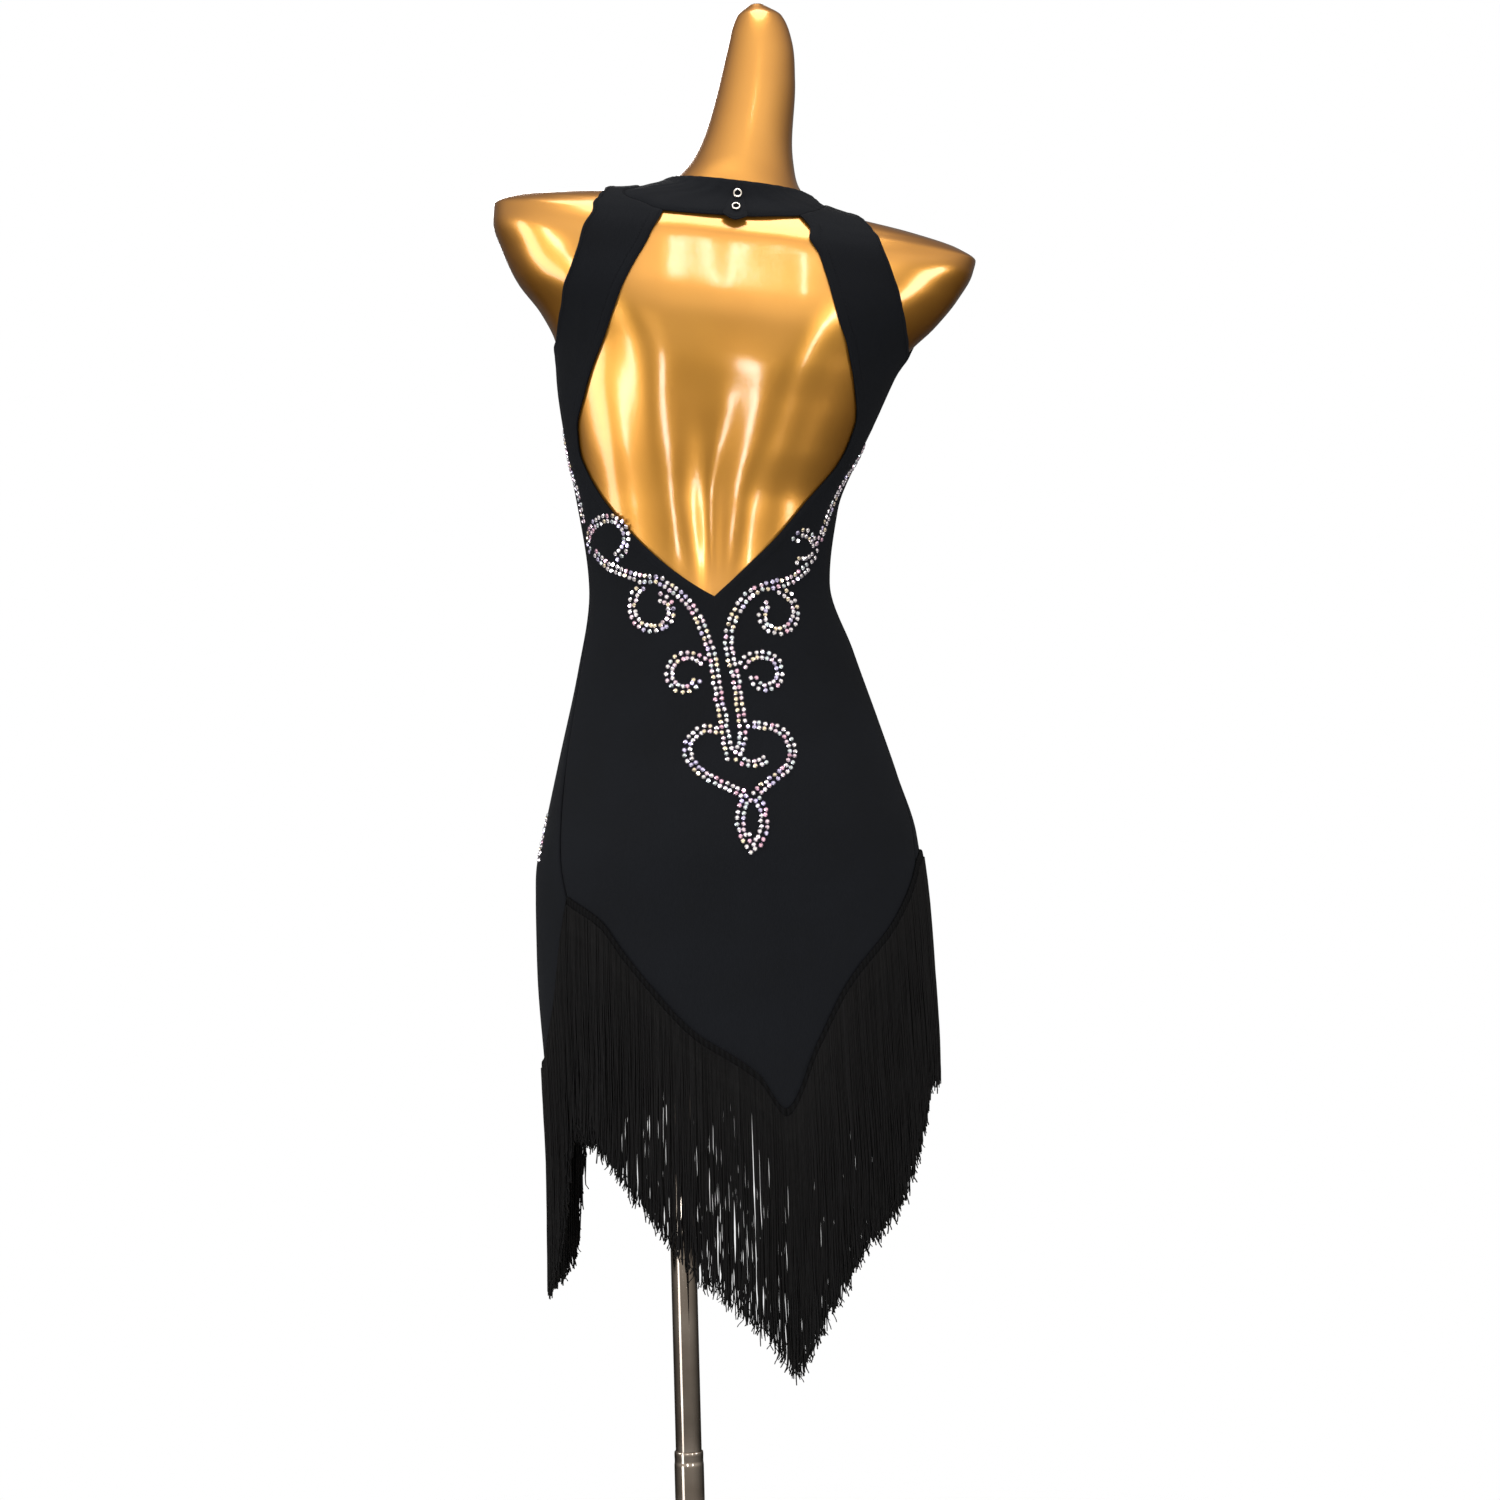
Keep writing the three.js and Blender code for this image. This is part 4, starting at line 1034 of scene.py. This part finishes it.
def stitched_edges():
    """Lines of stitches inside the folded strips: each edge's path moved in by the strip's width."""
    turned = []
    for strap in (STRAP_LEFT, STRAP_RIGHT):
        row = np.arange(len(strap["arm_height"]))
        fine = np.linspace(0, row[-1], 500)
        at = {name: curve(row, strap[name])(fine) for name in strap}
        arm = on_gown(at["arm_height"], at["arm_angle"], CLOTH_FACE)
        opening = on_gown(at["open_height"], at["open_angle"], CLOTH_FACE)
        span = np.linalg.norm(arm - opening, axis=1)
        shown = (fine > CORNER + 0.2) & (fine < row[-1] - 0.8), fine < UNDERARM
        for share, rows in zip(((V_FOLD - 0.9) / span, 1 - (ARM_FOLD - 0.9) / span), shown):
            height = lerp(at["open_height"], at["arm_height"], share)[rows]
            angle = lerp(at["open_angle"], at["arm_angle"], share)[rows]
            turned.append(on_gown(height, angle, CLOTH_FACE + 0.12))
    places, directions = zip(*(along(line, STITCH["pitch"]) for line in turned))
    places, directions = np.concatenate(places), np.concatenate(directions)
    out = outward_of(places)
    side = unit(np.cross(out, directions))
    out = np.cross(directions, side)
    half, end = STITCH["half"], STITCH["length"] / 2
    template = np.array([[x, y, z] for x in (-end, end) for y in (-half, half) for z in (-half, half)])
    template[:, 2] *= np.where(np.abs(template[:, 0]) == end, 0.8, 1.0)
    box = np.array([[0, 1, 3, 2], [4, 6, 7, 5], [0, 4, 5, 1], [2, 3, 7, 6], [0, 2, 6, 4], [1, 5, 7, 3]])
    points, quads = many(template, box, places, np.stack([directions, side, out], -2))
    return dress_piece(add_mesh("edge_stitches", points, quads), JERSEY, "jersey")


stitches = stitched_edges()

# ---- fringe ----
RANDOM = np.random.default_rng(20)
GAP = 0.35  # degrees between the headers of two stretches
STRAND = {"radius": 0.6, "tip": 0.85, "sides": 4, "steps": 15}
CUT = {"off": 4.0, "uneven": 4.0, "short": 14.0, "share_short": 0.1}  # how the strands' lengths differ
LAYER = {"count": 3, "from": 4.3, "apart": 0.95}  # the layers' distances from the figure


def even_angles(low, high, spacing):
    """Angles spaced evenly over the ground along a stretch of hem."""
    fine = np.linspace(low, high, 600)
    ground = on_gown(HEM_LEVEL, fine)
    run = np.concatenate([[0], np.cumsum(np.linalg.norm(np.diff(ground, axis=0), axis=1))])
    count = int(run[-1] / spacing)
    return np.interp((np.arange(count) + 0.5) / count * run[-1], run, fine)


def strands(name, hem_at, length_at, low, high, node_name, clump, draw, spacing, lean):
    """Rayon strands in three layers. A strand hangs from the hem down the skirt's surface and sways as
    a sum of sines that grows with s^1.2. Neighbours draw together towards their clump's middle as
    s^1.6, the first strands lean towards the last as s^0.6, and near its end a strand curls into a
    small hook. The line of one angle slides round the skirt as it goes down, and a strand takes back
    most of that, to hang straight. Each is a thin tube of four sides."""
    angle = even_angles(low - GAP, high + GAP, spacing)
    count, rows, sides = len(angle), STRAND["steps"] + 1, STRAND["sides"]
    number = np.arange(count)
    group = np.floor((number + 3 * np.sin(number * 0.21)) / clump)
    middle = np.array([number[group == g].mean() for g in group])
    gathered = (middle - number) * spacing * draw
    length = length_at(angle) - CUT["off"] + RANDOM.normal(0, CUT["uneven"], count)
    length -= CUT["short"] * (RANDOM.random(count) > 1 - CUT["share_short"])
    share = 1 - (1 - steps(STRAND["steps"])) ** 1.7
    down = share[None] * length[:, None]
    phase = RANDOM.random((4, count, 1)) * TAU
    sway = 1.0 * np.sin(down / 62 + phase[0]) + 0.9 * np.sin(down / 15 + phase[1])
    drift = RANDOM.normal(0, 1.2, (count, 1)) * share**1.5 + gathered[:, None] * share**1.6
    curl = RANDOM.normal(0, 2.6, (count, 1)) * ramp(share, 0.955, 1.0)
    leaning = lean * (1 - number[:, None] / count) * share**0.6
    sideways = sway * share**1.2 + drift + curl + leaning
    depth = LAYER["from"] + LAYER["apart"] * (number % LAYER["count"])[:, None]
    depth = depth + 0.5 * np.sin(down / 40 + phase[2]) * share + 0.3 * np.sin(phase[3])
    height = hem_at(angle)[:, None] + 1.5 - down + 4 * RANDOM.random((count, 1)) * ramp(share, 0.98, 1.0)
    turned = np.broadcast_to(angle[:, None], height.shape)
    here = on_gown(height, turned, depth)
    around = unit(on_gown(height, turned + 0.3) - on_gown(height, turned - 0.3))
    around[..., 2] = 0
    around = unit(around)
    outwards = unit(np.cross(around, [0.0, 0.0, 1.0]))
    slid = ((here - here[:, :1]) * around).sum(-1)
    here = here + around * (sideways - 0.85 * slid)[..., None]
    radius = STRAND["radius"] * (1 + 0.12 * np.sin(down / 7 + phase[0]))
    radius[:, -1] *= STRAND["tip"]
    spin = np.arange(sides) * TAU / sides + TAU / 8
    ring = around[..., None, :] * np.cos(spin)[:, None] + outwards[..., None, :] * np.sin(spin)[:, None]
    points = here[:, :, None, :] + ring * radius[..., None, None]
    skin = grid_quads(rows, sides, wrap=True)
    ends = np.array([[3, 2, 1, 0], [0, 1, 2, 3]]) + np.array([[0], [(rows - 1) * sides]])
    each = np.concatenate([skin, ends])
    quads = (each[None] + (number * rows * sides)[:, None, None]).reshape(-1, 4)
    shade = np.repeat(RANDOM.random(count) ** 1.5, rows * sides)
    uv = np.stack([np.tile(np.arange(sides), count * rows) * 1.0, np.repeat(down.ravel(), sides)], -1)
    piece = add_mesh(name, points.reshape(-1, 3), quads, uv=uv, tint=np.tile(shade, (3, 1)).T)
    return dress_piece(piece, RAYON, "fringe", node_name)


def header(name, hem_at, low, high):
    """The woven strip that holds the strands: it follows the hem and bulges over each bundle as
    0.35 * |sin(pi s / 3.2 mm)|."""
    fine = np.linspace(low, high, 900)
    line = on_gown(hem_at(fine), fine, TAPE_FACE)
    run = np.concatenate([[0], np.cumsum(np.linalg.norm(np.diff(line, axis=0), axis=1))])
    angle = np.interp(np.linspace(0, run[-1], int(run[-1] / 0.8)), run, fine)
    share = towards_ends(9)[:, None]
    height = hem_at(angle) + lerp(-TAPE["below"], TAPE["above"], share)

    def braided(points, height, angle):
        """The outer face: plump across its width, with cords 3.2 mm apart that run aslant."""
        at = np.interp(angle, fine, run)
        up = (height - hem_at(angle) + TAPE["below"]) / (TAPE["above"] + TAPE["below"])
        plump = np.sin(np.pi * np.clip(up, 0, 1)) ** 0.5
        return TAPE_FACE - 0.7 + 0.35 * np.abs(np.sin(np.pi * at / 3.2 + 1.5 * up)) + 0.35 * plump

    piece = cloth_shell(name, [(height, angle + 0 * share)], braided, TAPE["thick"])
    return dress_piece(piece, HEADER, "fringe")


# Each stretch of fringe: its hem and lengths, its two ends, how many strands draw together in a clump
# and by how much, how far apart in mm the strands are, and how far in mm its first ones lean.
HEM_STRETCHES = [
    ("back_left", back_hem, back_length, LEFT_END + GAP, BACK_POINT - GAP / 2, 17, 0.22, 0.31, 0),
    ("back_right", back_hem, back_length, BACK_POINT + GAP / 2, RIGHT_END + 360 - GAP, 11, 0.04, 0.24, 0),
    ("front_right", front_hem, front_length, RIGHT_END + GAP, TAIL_EDGE - GAP / 2, 13, 0.25, 0.45, 0),
    ("front_tail", front_hem, front_length, TAIL_EDGE + GAP / 2, LEFT_END - GAP, 11, 0.08, 0.36, 12),
]
fringes, headers = {}, {}
for stretch, hem_at, length_at, low, high, *bunching in HEM_STRETCHES:
    name = "fringe_" + stretch
    fringes[stretch] = strands("strands_" + stretch, hem_at, length_at, low, high, name, *bunching)
    headers[stretch] = header("header_" + stretch, hem_at, low, high)


# ---- rhinestone scrollwork, seen from behind: across (the world's X) and up, in mm ----
ROW_APART = 5.1  # between the two rows of a stroke, and from stone to stone along it
STONE = {"radius": 2.15, "girdle": 0.6, "top": 1.5, "table": 0.58, "sides": 8}
LAID = {"nearest": 3.8, "astray": 0.4, "tipped": 0.09}  # least distance, and how unevenly they sit
STONE_TINTS = ["#FFFFFF", "#FBE6F2", "#E2F4F4", "#FFF3C9", "#D9D6FA", "#F9C7DC"]
STONE_SHARES = [0.42, 0.14, 0.14, 0.14, 0.1, 0.06]


def spiral(across, up, start, end, turn, sweep, squeeze=1.0):
    """A stroke that winds in from radius start to end: (r cos a, r sin a) about its middle."""
    t = steps(80)
    angle = np.radians(turn + sweep * t)
    radius = lerp(start, end, t**0.8)
    return np.stack([across + squeeze * radius * np.cos(angle), up + radius * np.sin(angle)], -1)


def bend(*knots):
    """A stroke that runs smoothly through a few places."""
    knots = np.array(knots, float)
    ends = np.concatenate([[2 * knots[0] - knots[1]], knots, [2 * knots[-1] - knots[-2]]])
    t = np.linspace(0, len(knots) - 1, 30 * len(knots))
    i = np.minimum(t.astype(int), len(knots) - 2)
    s = (t - i)[:, None]
    a, b, c, d = (ends[i + k] for k in range(4))
    return 0.5 * (2 * b + (c - a) * s + (2 * a - 5 * b + 4 * c - d) * s**2 + (3 * b - a - 3 * c + d) * s**3)


def leaf(across, up, half, high):
    """A leaf, half * sin(a) * |sin a|^0.15 across and high * cos(a) up, open by a hair at its top."""
    hair = 0.12
    a = np.linspace(hair, TAU - hair, 120)
    return np.stack([across + half * np.sin(a) * np.abs(np.sin(a)) ** 0.15, up + high * np.cos(a)], -1)


STROKES = [
    bend(
        (62, 1080), (50, 1067), (24, 1055), (2, 1050), (-24, 1026),
        (-39, 990), (-45, 953), (-50, 918), (-55, 889),
    ),
    spiral(49, 1090, 20, 17, -30, 275, 0.95),
    spiral(8, 1026, 25, 11, 66, -325),
    spiral(-17, 967, 20, 10, 150, -320),
    bend(
        (-128, 1062), (-111, 1049), (-84, 1042), (-69, 1031),
        (-57, 1008), (-56, 986), (-61, 962), (-65, 928),
    ),
    bend((-65, 928), (-65, 908), (-61, 893), (-76, 888), (-88, 893)),
    spiral(-124, 1079, 14, 11, -50, -300, 0.8),
    spiral(-97, 1019, 22, 10, 98, 325),
    spiral(-85, 966, 21, 9, 22, 330),
    bend((-45, 918), (-30, 919), (-18, 908), (-19, 893), (-31, 880), (-49, 870), (-67, 861)),
    bend((-68, 924), (-83, 921), (-99, 916), (-108, 902), (-105, 886), (-93, 875), (-76, 863)),
    leaf(-72, 838, 10.5, 22),
    bend((-72, 829), (-72, 808)),
    bend((-138, 1084), (-147, 1108), (-156, 1128), (-168, 1148)),
]
SIDE_STROKES = [  # runs that pass round the sides to the front, by height and angle
    [(1150, 6), (1135, 12), (1118, 15), (1102, 15)],
    [(1155, 170), (1168, 175), (1182, 185), (1190, 198), (1187, 209), (1176, 213)],
    [(1150, 6), (1167, 0), (1182, -9), (1190, -21), (1186, -32), (1175, -35)],
    [(860, 2), (846, 4), (832, 5), (818, 6)],
]


def on_cloth(stroke):
    """The (height, angle) on the back where each (across, up) lies, by eight Newton steps."""

    def seen(height, angle):
        """Where a point of the cloth lies across and up."""
        return on_gown(height, angle, CLOTH_FACE)[:, [0, 2]]

    height, angle = stroke[:, 1].copy(), 90 - (stroke[:, 0] + 45) / 2.2
    for _ in range(8):
        miss = seen(height, angle) - stroke
        by_height = seen(height + 0.5, angle) - seen(height - 0.5, angle)
        by_angle = (seen(height, angle + 0.25) - seen(height, angle - 0.25)) * 2
        size = by_height[:, 0] * by_angle[:, 1] - by_height[:, 1] * by_angle[:, 0]
        height = height - (miss[:, 0] * by_angle[:, 1] - miss[:, 1] * by_angle[:, 0]) / size
        angle = angle - (by_height[:, 0] * miss[:, 1] - by_height[:, 1] * miss[:, 0]) / size
        angle = np.clip(angle, 0, 180)
    return height, angle


def stone_template():
    """A chaton: a girdle of eight sides, eight kite facets up to a table turned half a side."""
    sides = STONE["sides"]
    a = np.arange(sides) * TAU / sides
    low = np.stack([STONE["radius"] * np.cos(a), STONE["radius"] * np.sin(a), 0 * a], -1)
    girdle = low + [0, 0, STONE["girdle"]]
    flat = STONE["table"] * STONE["radius"]
    b = a + TAU / sides / 2
    top = np.stack([flat * np.cos(b), flat * np.sin(b), STONE["top"] + 0 * b], -1)
    points = np.concatenate([low, girdle, top, [[0, 0, 0], [0, 0, STONE["top"]]]])
    k = np.arange(sides)
    n = (k + 1) % sides
    faces = np.concatenate([
        np.stack([k, n, n + sides], -1),
        np.stack([k, n + sides, k + sides], -1),
        np.stack([k + sides, n + sides, k + 2 * sides], -1),
        np.stack([n + sides, n + 2 * sides, k + 2 * sides], -1),
        np.stack([np.full(sides, 3 * sides), n, k], -1),
        np.stack([np.full(sides, 3 * sides + 1), k + 2 * sides, n + 2 * sides], -1),
    ])
    return points, faces


def rhinestones():
    """Two rows of stones along every stroke, each stone a little out of line and tipped."""
    lines = [on_cloth(stroke) for stroke in STROKES]
    for stroke in SIDE_STROKES:
        height, angle = np.array(stroke, float).T
        at = np.linspace(0, len(height) - 1, 90)
        lines.append([curve(np.arange(len(height)), column)(at) for column in (height, angle)])
    places, directions = [], []
    for height, angle in lines:
        here, ahead = along(on_gown(height, angle, CLOTH_FACE), ROW_APART)
        places.append(here)
        directions.append(ahead)
    centre, ahead = np.concatenate(places), np.concatenate(directions)
    side = unit(np.cross(outward_of(centre), ahead))
    rows = [centre + side * (ROW_APART / 2) * sign for sign in (-1, 1)]
    centre, ahead = np.concatenate(rows), np.concatenate([ahead, ahead])
    keep = np.ones(len(centre), bool)
    for i in range(1, len(centre)):
        keep[i] = np.linalg.norm(centre[:i][keep[:i]] - centre[i], axis=1).min() > LAID["nearest"]
    centre, ahead = centre[keep], ahead[keep]
    count = len(centre)
    centre = centre + RANDOM.normal(0, LAID["astray"], (count, 3)) * [1, 0, 1]
    height, angle = stone_seats(centre)
    here, axes = frame_at(height, angle, CLOTH_FACE + 0.05)
    spin = RANDOM.random(count) * TAU
    sideways, upwards = RANDOM.normal(0, LAID["tipped"], (2, count, 1))
    tipped = unit(axes[:, 2] + axes[:, 0] * sideways + axes[:, 1] * upwards)
    first = unit(np.cross(tipped, axes[:, 0] * np.cos(spin)[:, None] + axes[:, 1] * np.sin(spin)[:, None]))
    frames = np.stack([first, np.cross(tipped, first), tipped], -2)
    template, faces = stone_template()
    points, triangles = many(template, faces, here, frames)
    hues = np.array([linear(code)[:3] for code in STONE_TINTS])
    pick = RANDOM.choice(len(hues), count, p=STONE_SHARES)
    tint = np.repeat(hues[pick] * RANDOM.uniform(0.8, 1.0, (count, 1)), len(template), axis=0)
    piece = add_mesh("rhinestone_scrolls", points, triangles=triangles, tint=tint, smooth=False)
    return dress_piece(piece, CRYSTAL, "rhinestone")


def stone_seats(points):
    """The (height, angle) of points near the cloth: a first guess from the figure's axis, then 14
    steps that move it by what is left up and round the cloth."""
    middle = np.stack([np.interp(points[:, 2], GOWN["height"], GOWN[k]) for k in ("across", "depth")], -1)
    angle = np.degrees(np.arctan2(points[:, 1] - middle[:, 1], (points[:, 0] - middle[:, 0]) * 0.7))
    height = points[:, 2].copy()
    for _ in range(14):
        here, axes = frame_at(height, angle, CLOTH_FACE)
        miss = points - here
        degree = np.linalg.norm(on_gown(height, angle + 0.5) - on_gown(height, angle - 0.5), axis=1)
        angle = angle + (miss * axes[:, 0]).sum(1) / degree
        height = height + (miss * axes[:, 1]).sum(1)
    return height, angle


stones = rhinestones()


# ---- stand ----
def rounded_outline(corners, radius, count=4):
    """An outline of (radius, height) corners with each corner replaced by a small quadratic arc."""
    corners = np.array(corners, float)
    back, on = np.roll(corners, 1, 0) - corners, np.roll(corners, -1, 0) - corners
    reach = [np.minimum(radius, 0.45 * np.linalg.norm(v, axis=1))[:, None] for v in (back, on)]
    start, end = corners + unit(back) * reach[0], corners + unit(on) * reach[1]
    t = steps(count)[None, :, None]
    arc = (1 - t) ** 2 * start[:, None] + 2 * t * (1 - t) * corners[:, None] + t**2 * end[:, None]
    return arc.reshape(-1, 2)


def turned(name, corners, radius, node_name, sides=96):
    """A turned piece: its closed outline carried round the pole's axis as (r cos a, r sin a, z)."""
    outline = rounded_outline(corners, radius)
    a = np.arange(sides) * TAU / sides
    r, z = outline[:, :1], outline[:, 1:]
    points = np.stack([r * np.cos(a), r * np.sin(a), z + 0 * a], -1).reshape(-1, 3)
    quads = grid_quads(len(outline), sides, wrap=True, close=True)
    return dress_piece(add_mesh(name, points, quads, sharp=40), STEEL, "stand_steel", node_name)


def size_of(node_name):
    """A turned node's outer radius and its lowest and highest point, in mm."""
    low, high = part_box(node_name)
    return (high.x - low.x) / 2 / MM, low.z / MM, high.z / MM


def stand():
    """Foot, two tubes and flange, from the sizes of their nodes. slip is the play between pieces, and
    core how far from the pole's axis a solid piece's outline starts."""
    wall, neck, taper, slip, core = 1.5, 12.1, 9.0, 0.4, 0.4
    plate_thick, collar, flange_thick, sleeve = 6.0, 22.0, 5.0, 17.0
    upper, upper_low, upper_high = size_of("pole_upper")
    lower, lower_low, lower_high = size_of("pole_lower")
    plate, ground, foot_high = size_of("foot_plate")
    flange, flange_low, flange_high = size_of("form_flange")
    mouth, seat, under = lower_high - taper, plate_thick + slip, flange_high - flange_thick
    return [
        turned("pole_upper_tube", [
            (upper - wall, upper_low), (upper, upper_low), (upper, upper_high), (upper - wall, upper_high),
        ], 0.5, "pole_upper"),
        turned("pole_lower_tube", [
            (lower - wall, lower_low), (lower, lower_low), (lower, mouth - 3), (lower - 0.4, mouth),
            (neck + 1.0, lower_high - 2.5), (neck + 0.8, lower_high), (neck, lower_high), (neck, mouth - 2),
            (lower - wall, mouth - 6),
        ], 1.2, "pole_lower"),
        turned("foot_disc", [
            (core, ground), (plate, ground), (plate, plate_thick), (collar + 6, plate_thick + 0.2),
            (collar, plate_thick + 3), (collar, foot_high), (lower + slip, foot_high), (lower + slip, seat),
            (core, seat),
        ], 1.6, "foot_plate"),
        turned("form_socket", [
            (core, flange_high), (flange, flange_high), (flange, under), (sleeve, under),
            (sleeve, flange_low), (upper + slip, flange_low), (upper + slip, under), (core, under),
        ], 1.0, "form_flange"),
    ]


stand()

# ---- floor and light ----
FLOOR = {"rings": (0.02, 0.2, 0.5, 0.8, 1.1, 1.5), "height": -0.0006}  # metres
FADE = {"From Min": 0.55, "From Max": 1.25}  # metres from the pole: from solid to clear


def painted_floor(tree):
    """Pale matt paint, a little uneven."""
    place = node(tree, "ShaderNodeTexCoord").outputs["Object"]
    grain = node(tree, "ShaderNodeTexNoise", (), {"Vector": place, "Scale": 6.0, "Detail": 3.0})
    tones = {0: grain.outputs[0], FROM: linear("#EFEEEC"), TO: linear("#F6F5F3")}
    return {"Base Color": node(tree, "ShaderNodeMix", MIX, tones).outputs[2], "Roughness": 0.7}


def floor(sides=128):
    """A pale disc whose edge fades out, so that it ends without a line."""
    a = np.arange(sides) * TAU / sides
    radii = np.array(FLOOR["rings"])[:, None]
    rings = np.stack([radii * np.cos(a), radii * np.sin(a), 0 * radii * a + FLOOR["height"]], -1) / MM
    piece = add_mesh("floor", rings.reshape(-1, 3), grid_quads(len(radii), sides, wrap=True))
    paint = material("pale_floor", painted_floor)
    tree = paint.node_tree
    shader, output = (tree.nodes[kind] for kind in ("Principled BSDF", "Material Output"))
    place = node(tree, "ShaderNodeTexCoord").outputs["Object"]
    away = node(tree, "ShaderNodeVectorMath", {"operation": "LENGTH"}, {0: place})
    edge = {"Value": away.outputs["Value"], **FADE}
    fade = node(tree, "ShaderNodeMapRange", {"interpolation_type": "SMOOTHSTEP"}, edge)
    clear = node(tree, "ShaderNodeBsdfTransparent")
    layers = {0: fade.outputs[0], 1: shader.outputs[0], 2: clear.outputs[0]}
    mix = node(tree, "ShaderNodeMixShader", (), layers)
    tree.links.new(mix.outputs[0], output.inputs["Surface"])
    piece.data.materials.append(paint)


def oval_lamp(name, place, aim, size, power):
    """A white oval studio lamp at a place, turned towards a point."""
    data = bpy.data.lights.new(name, "AREA")
    data.shape = "ELLIPSE"
    data.size, data.size_y = size
    data.energy = power
    lamp = bpy.data.objects.new(name, data)
    lamp.location = place
    lamp.rotation_euler = (Vector(aim) - Vector(place)).to_track_quat("-Z", "Y").to_euler()
    bpy.context.scene.collection.objects.link(lamp)


def studio():
    """A room that the camera sees white, and that lights and mirrors warmer and dims towards the front
    and the floor, with oval lamps: tall ones at the garment's back, wide ones at its sides, above and
    before it."""
    scene = bpy.context.scene
    scene.view_settings.view_transform = "Standard"
    scene.world = bpy.data.worlds.new("studio")
    scene.world.use_nodes = True
    tree = scene.world.node_tree
    tree.nodes.clear()
    way = node(tree, "ShaderNodeTexCoord").outputs["Generated"]
    parts = node(tree, "ShaderNodeSeparateXYZ", (), {0: way})
    shares = []
    for axis, low, high, least in ((1, -0.6, 0.9, 0.15), (2, -0.3, 0.35, 0.08)):
        span = {"From Min": low, "From Max": high, "To Min": least, "To Max": 1.2}
        share = node(tree, "ShaderNodeMapRange", (), {"Value": parts.outputs[axis], **span})
        shares.append(share.outputs[0])
    strength = node(tree, "ShaderNodeMath", {"operation": "MULTIPLY"}, {0: shares[0], 1: shares[1]})
    warm = {"Color": linear("#FFF7EC"), "Strength": strength.outputs[0]}
    room = node(tree, "ShaderNodeBackground", (), warm)
    seen = node(tree, "ShaderNodeBackground", (), {"Color": (1, 1, 1, 1), "Strength": 1.0})
    camera_ray = node(tree, "ShaderNodeLightPath").outputs["Is Camera Ray"]
    mix = node(tree, "ShaderNodeMixShader", (), {0: camera_ray, 1: room.outputs[0], 2: seen.outputs[0]})
    node(tree, "ShaderNodeOutputWorld", (), {"Surface": mix.outputs[0]})
    aim = (-0.06, 0.0, 1.1)
    oval_lamp("left_strip", (1.9, 1.6, 1.1), aim, (0.34, 1.2), 13)
    oval_lamp("right_strip", (-1.3, 2.3, 1.0), aim, (0.14, 1.8), 15)
    oval_lamp("high_lamp", (-0.3, 2.9, 2.6), aim, (0.09, 0.8), 4.5)
    oval_lamp("low_panel", (1.85, 1.6, -0.1), (0, 0, 0.3), (0.8, 0.7), 4.5)
    oval_lamp("low_lamp", (0.5, 2.7, 0.4), aim, (0.28, 0.3), 4)
    oval_lamp("left_panel", (2.3, 0.5, 1.1), aim, (0.9, 1.4), 17)
    oval_lamp("right_panel", (-2.1, 0.95, 0.75), aim, (0.6, 0.7), 10)
    oval_lamp("overhead", (-0.1, 0.3, 3.4), aim, (1.6, 1.6), 34)
    oval_lamp("behind", (0.4, -2.6, 2.2), aim, (1.4, 1.2), 22)


floor()
studio()
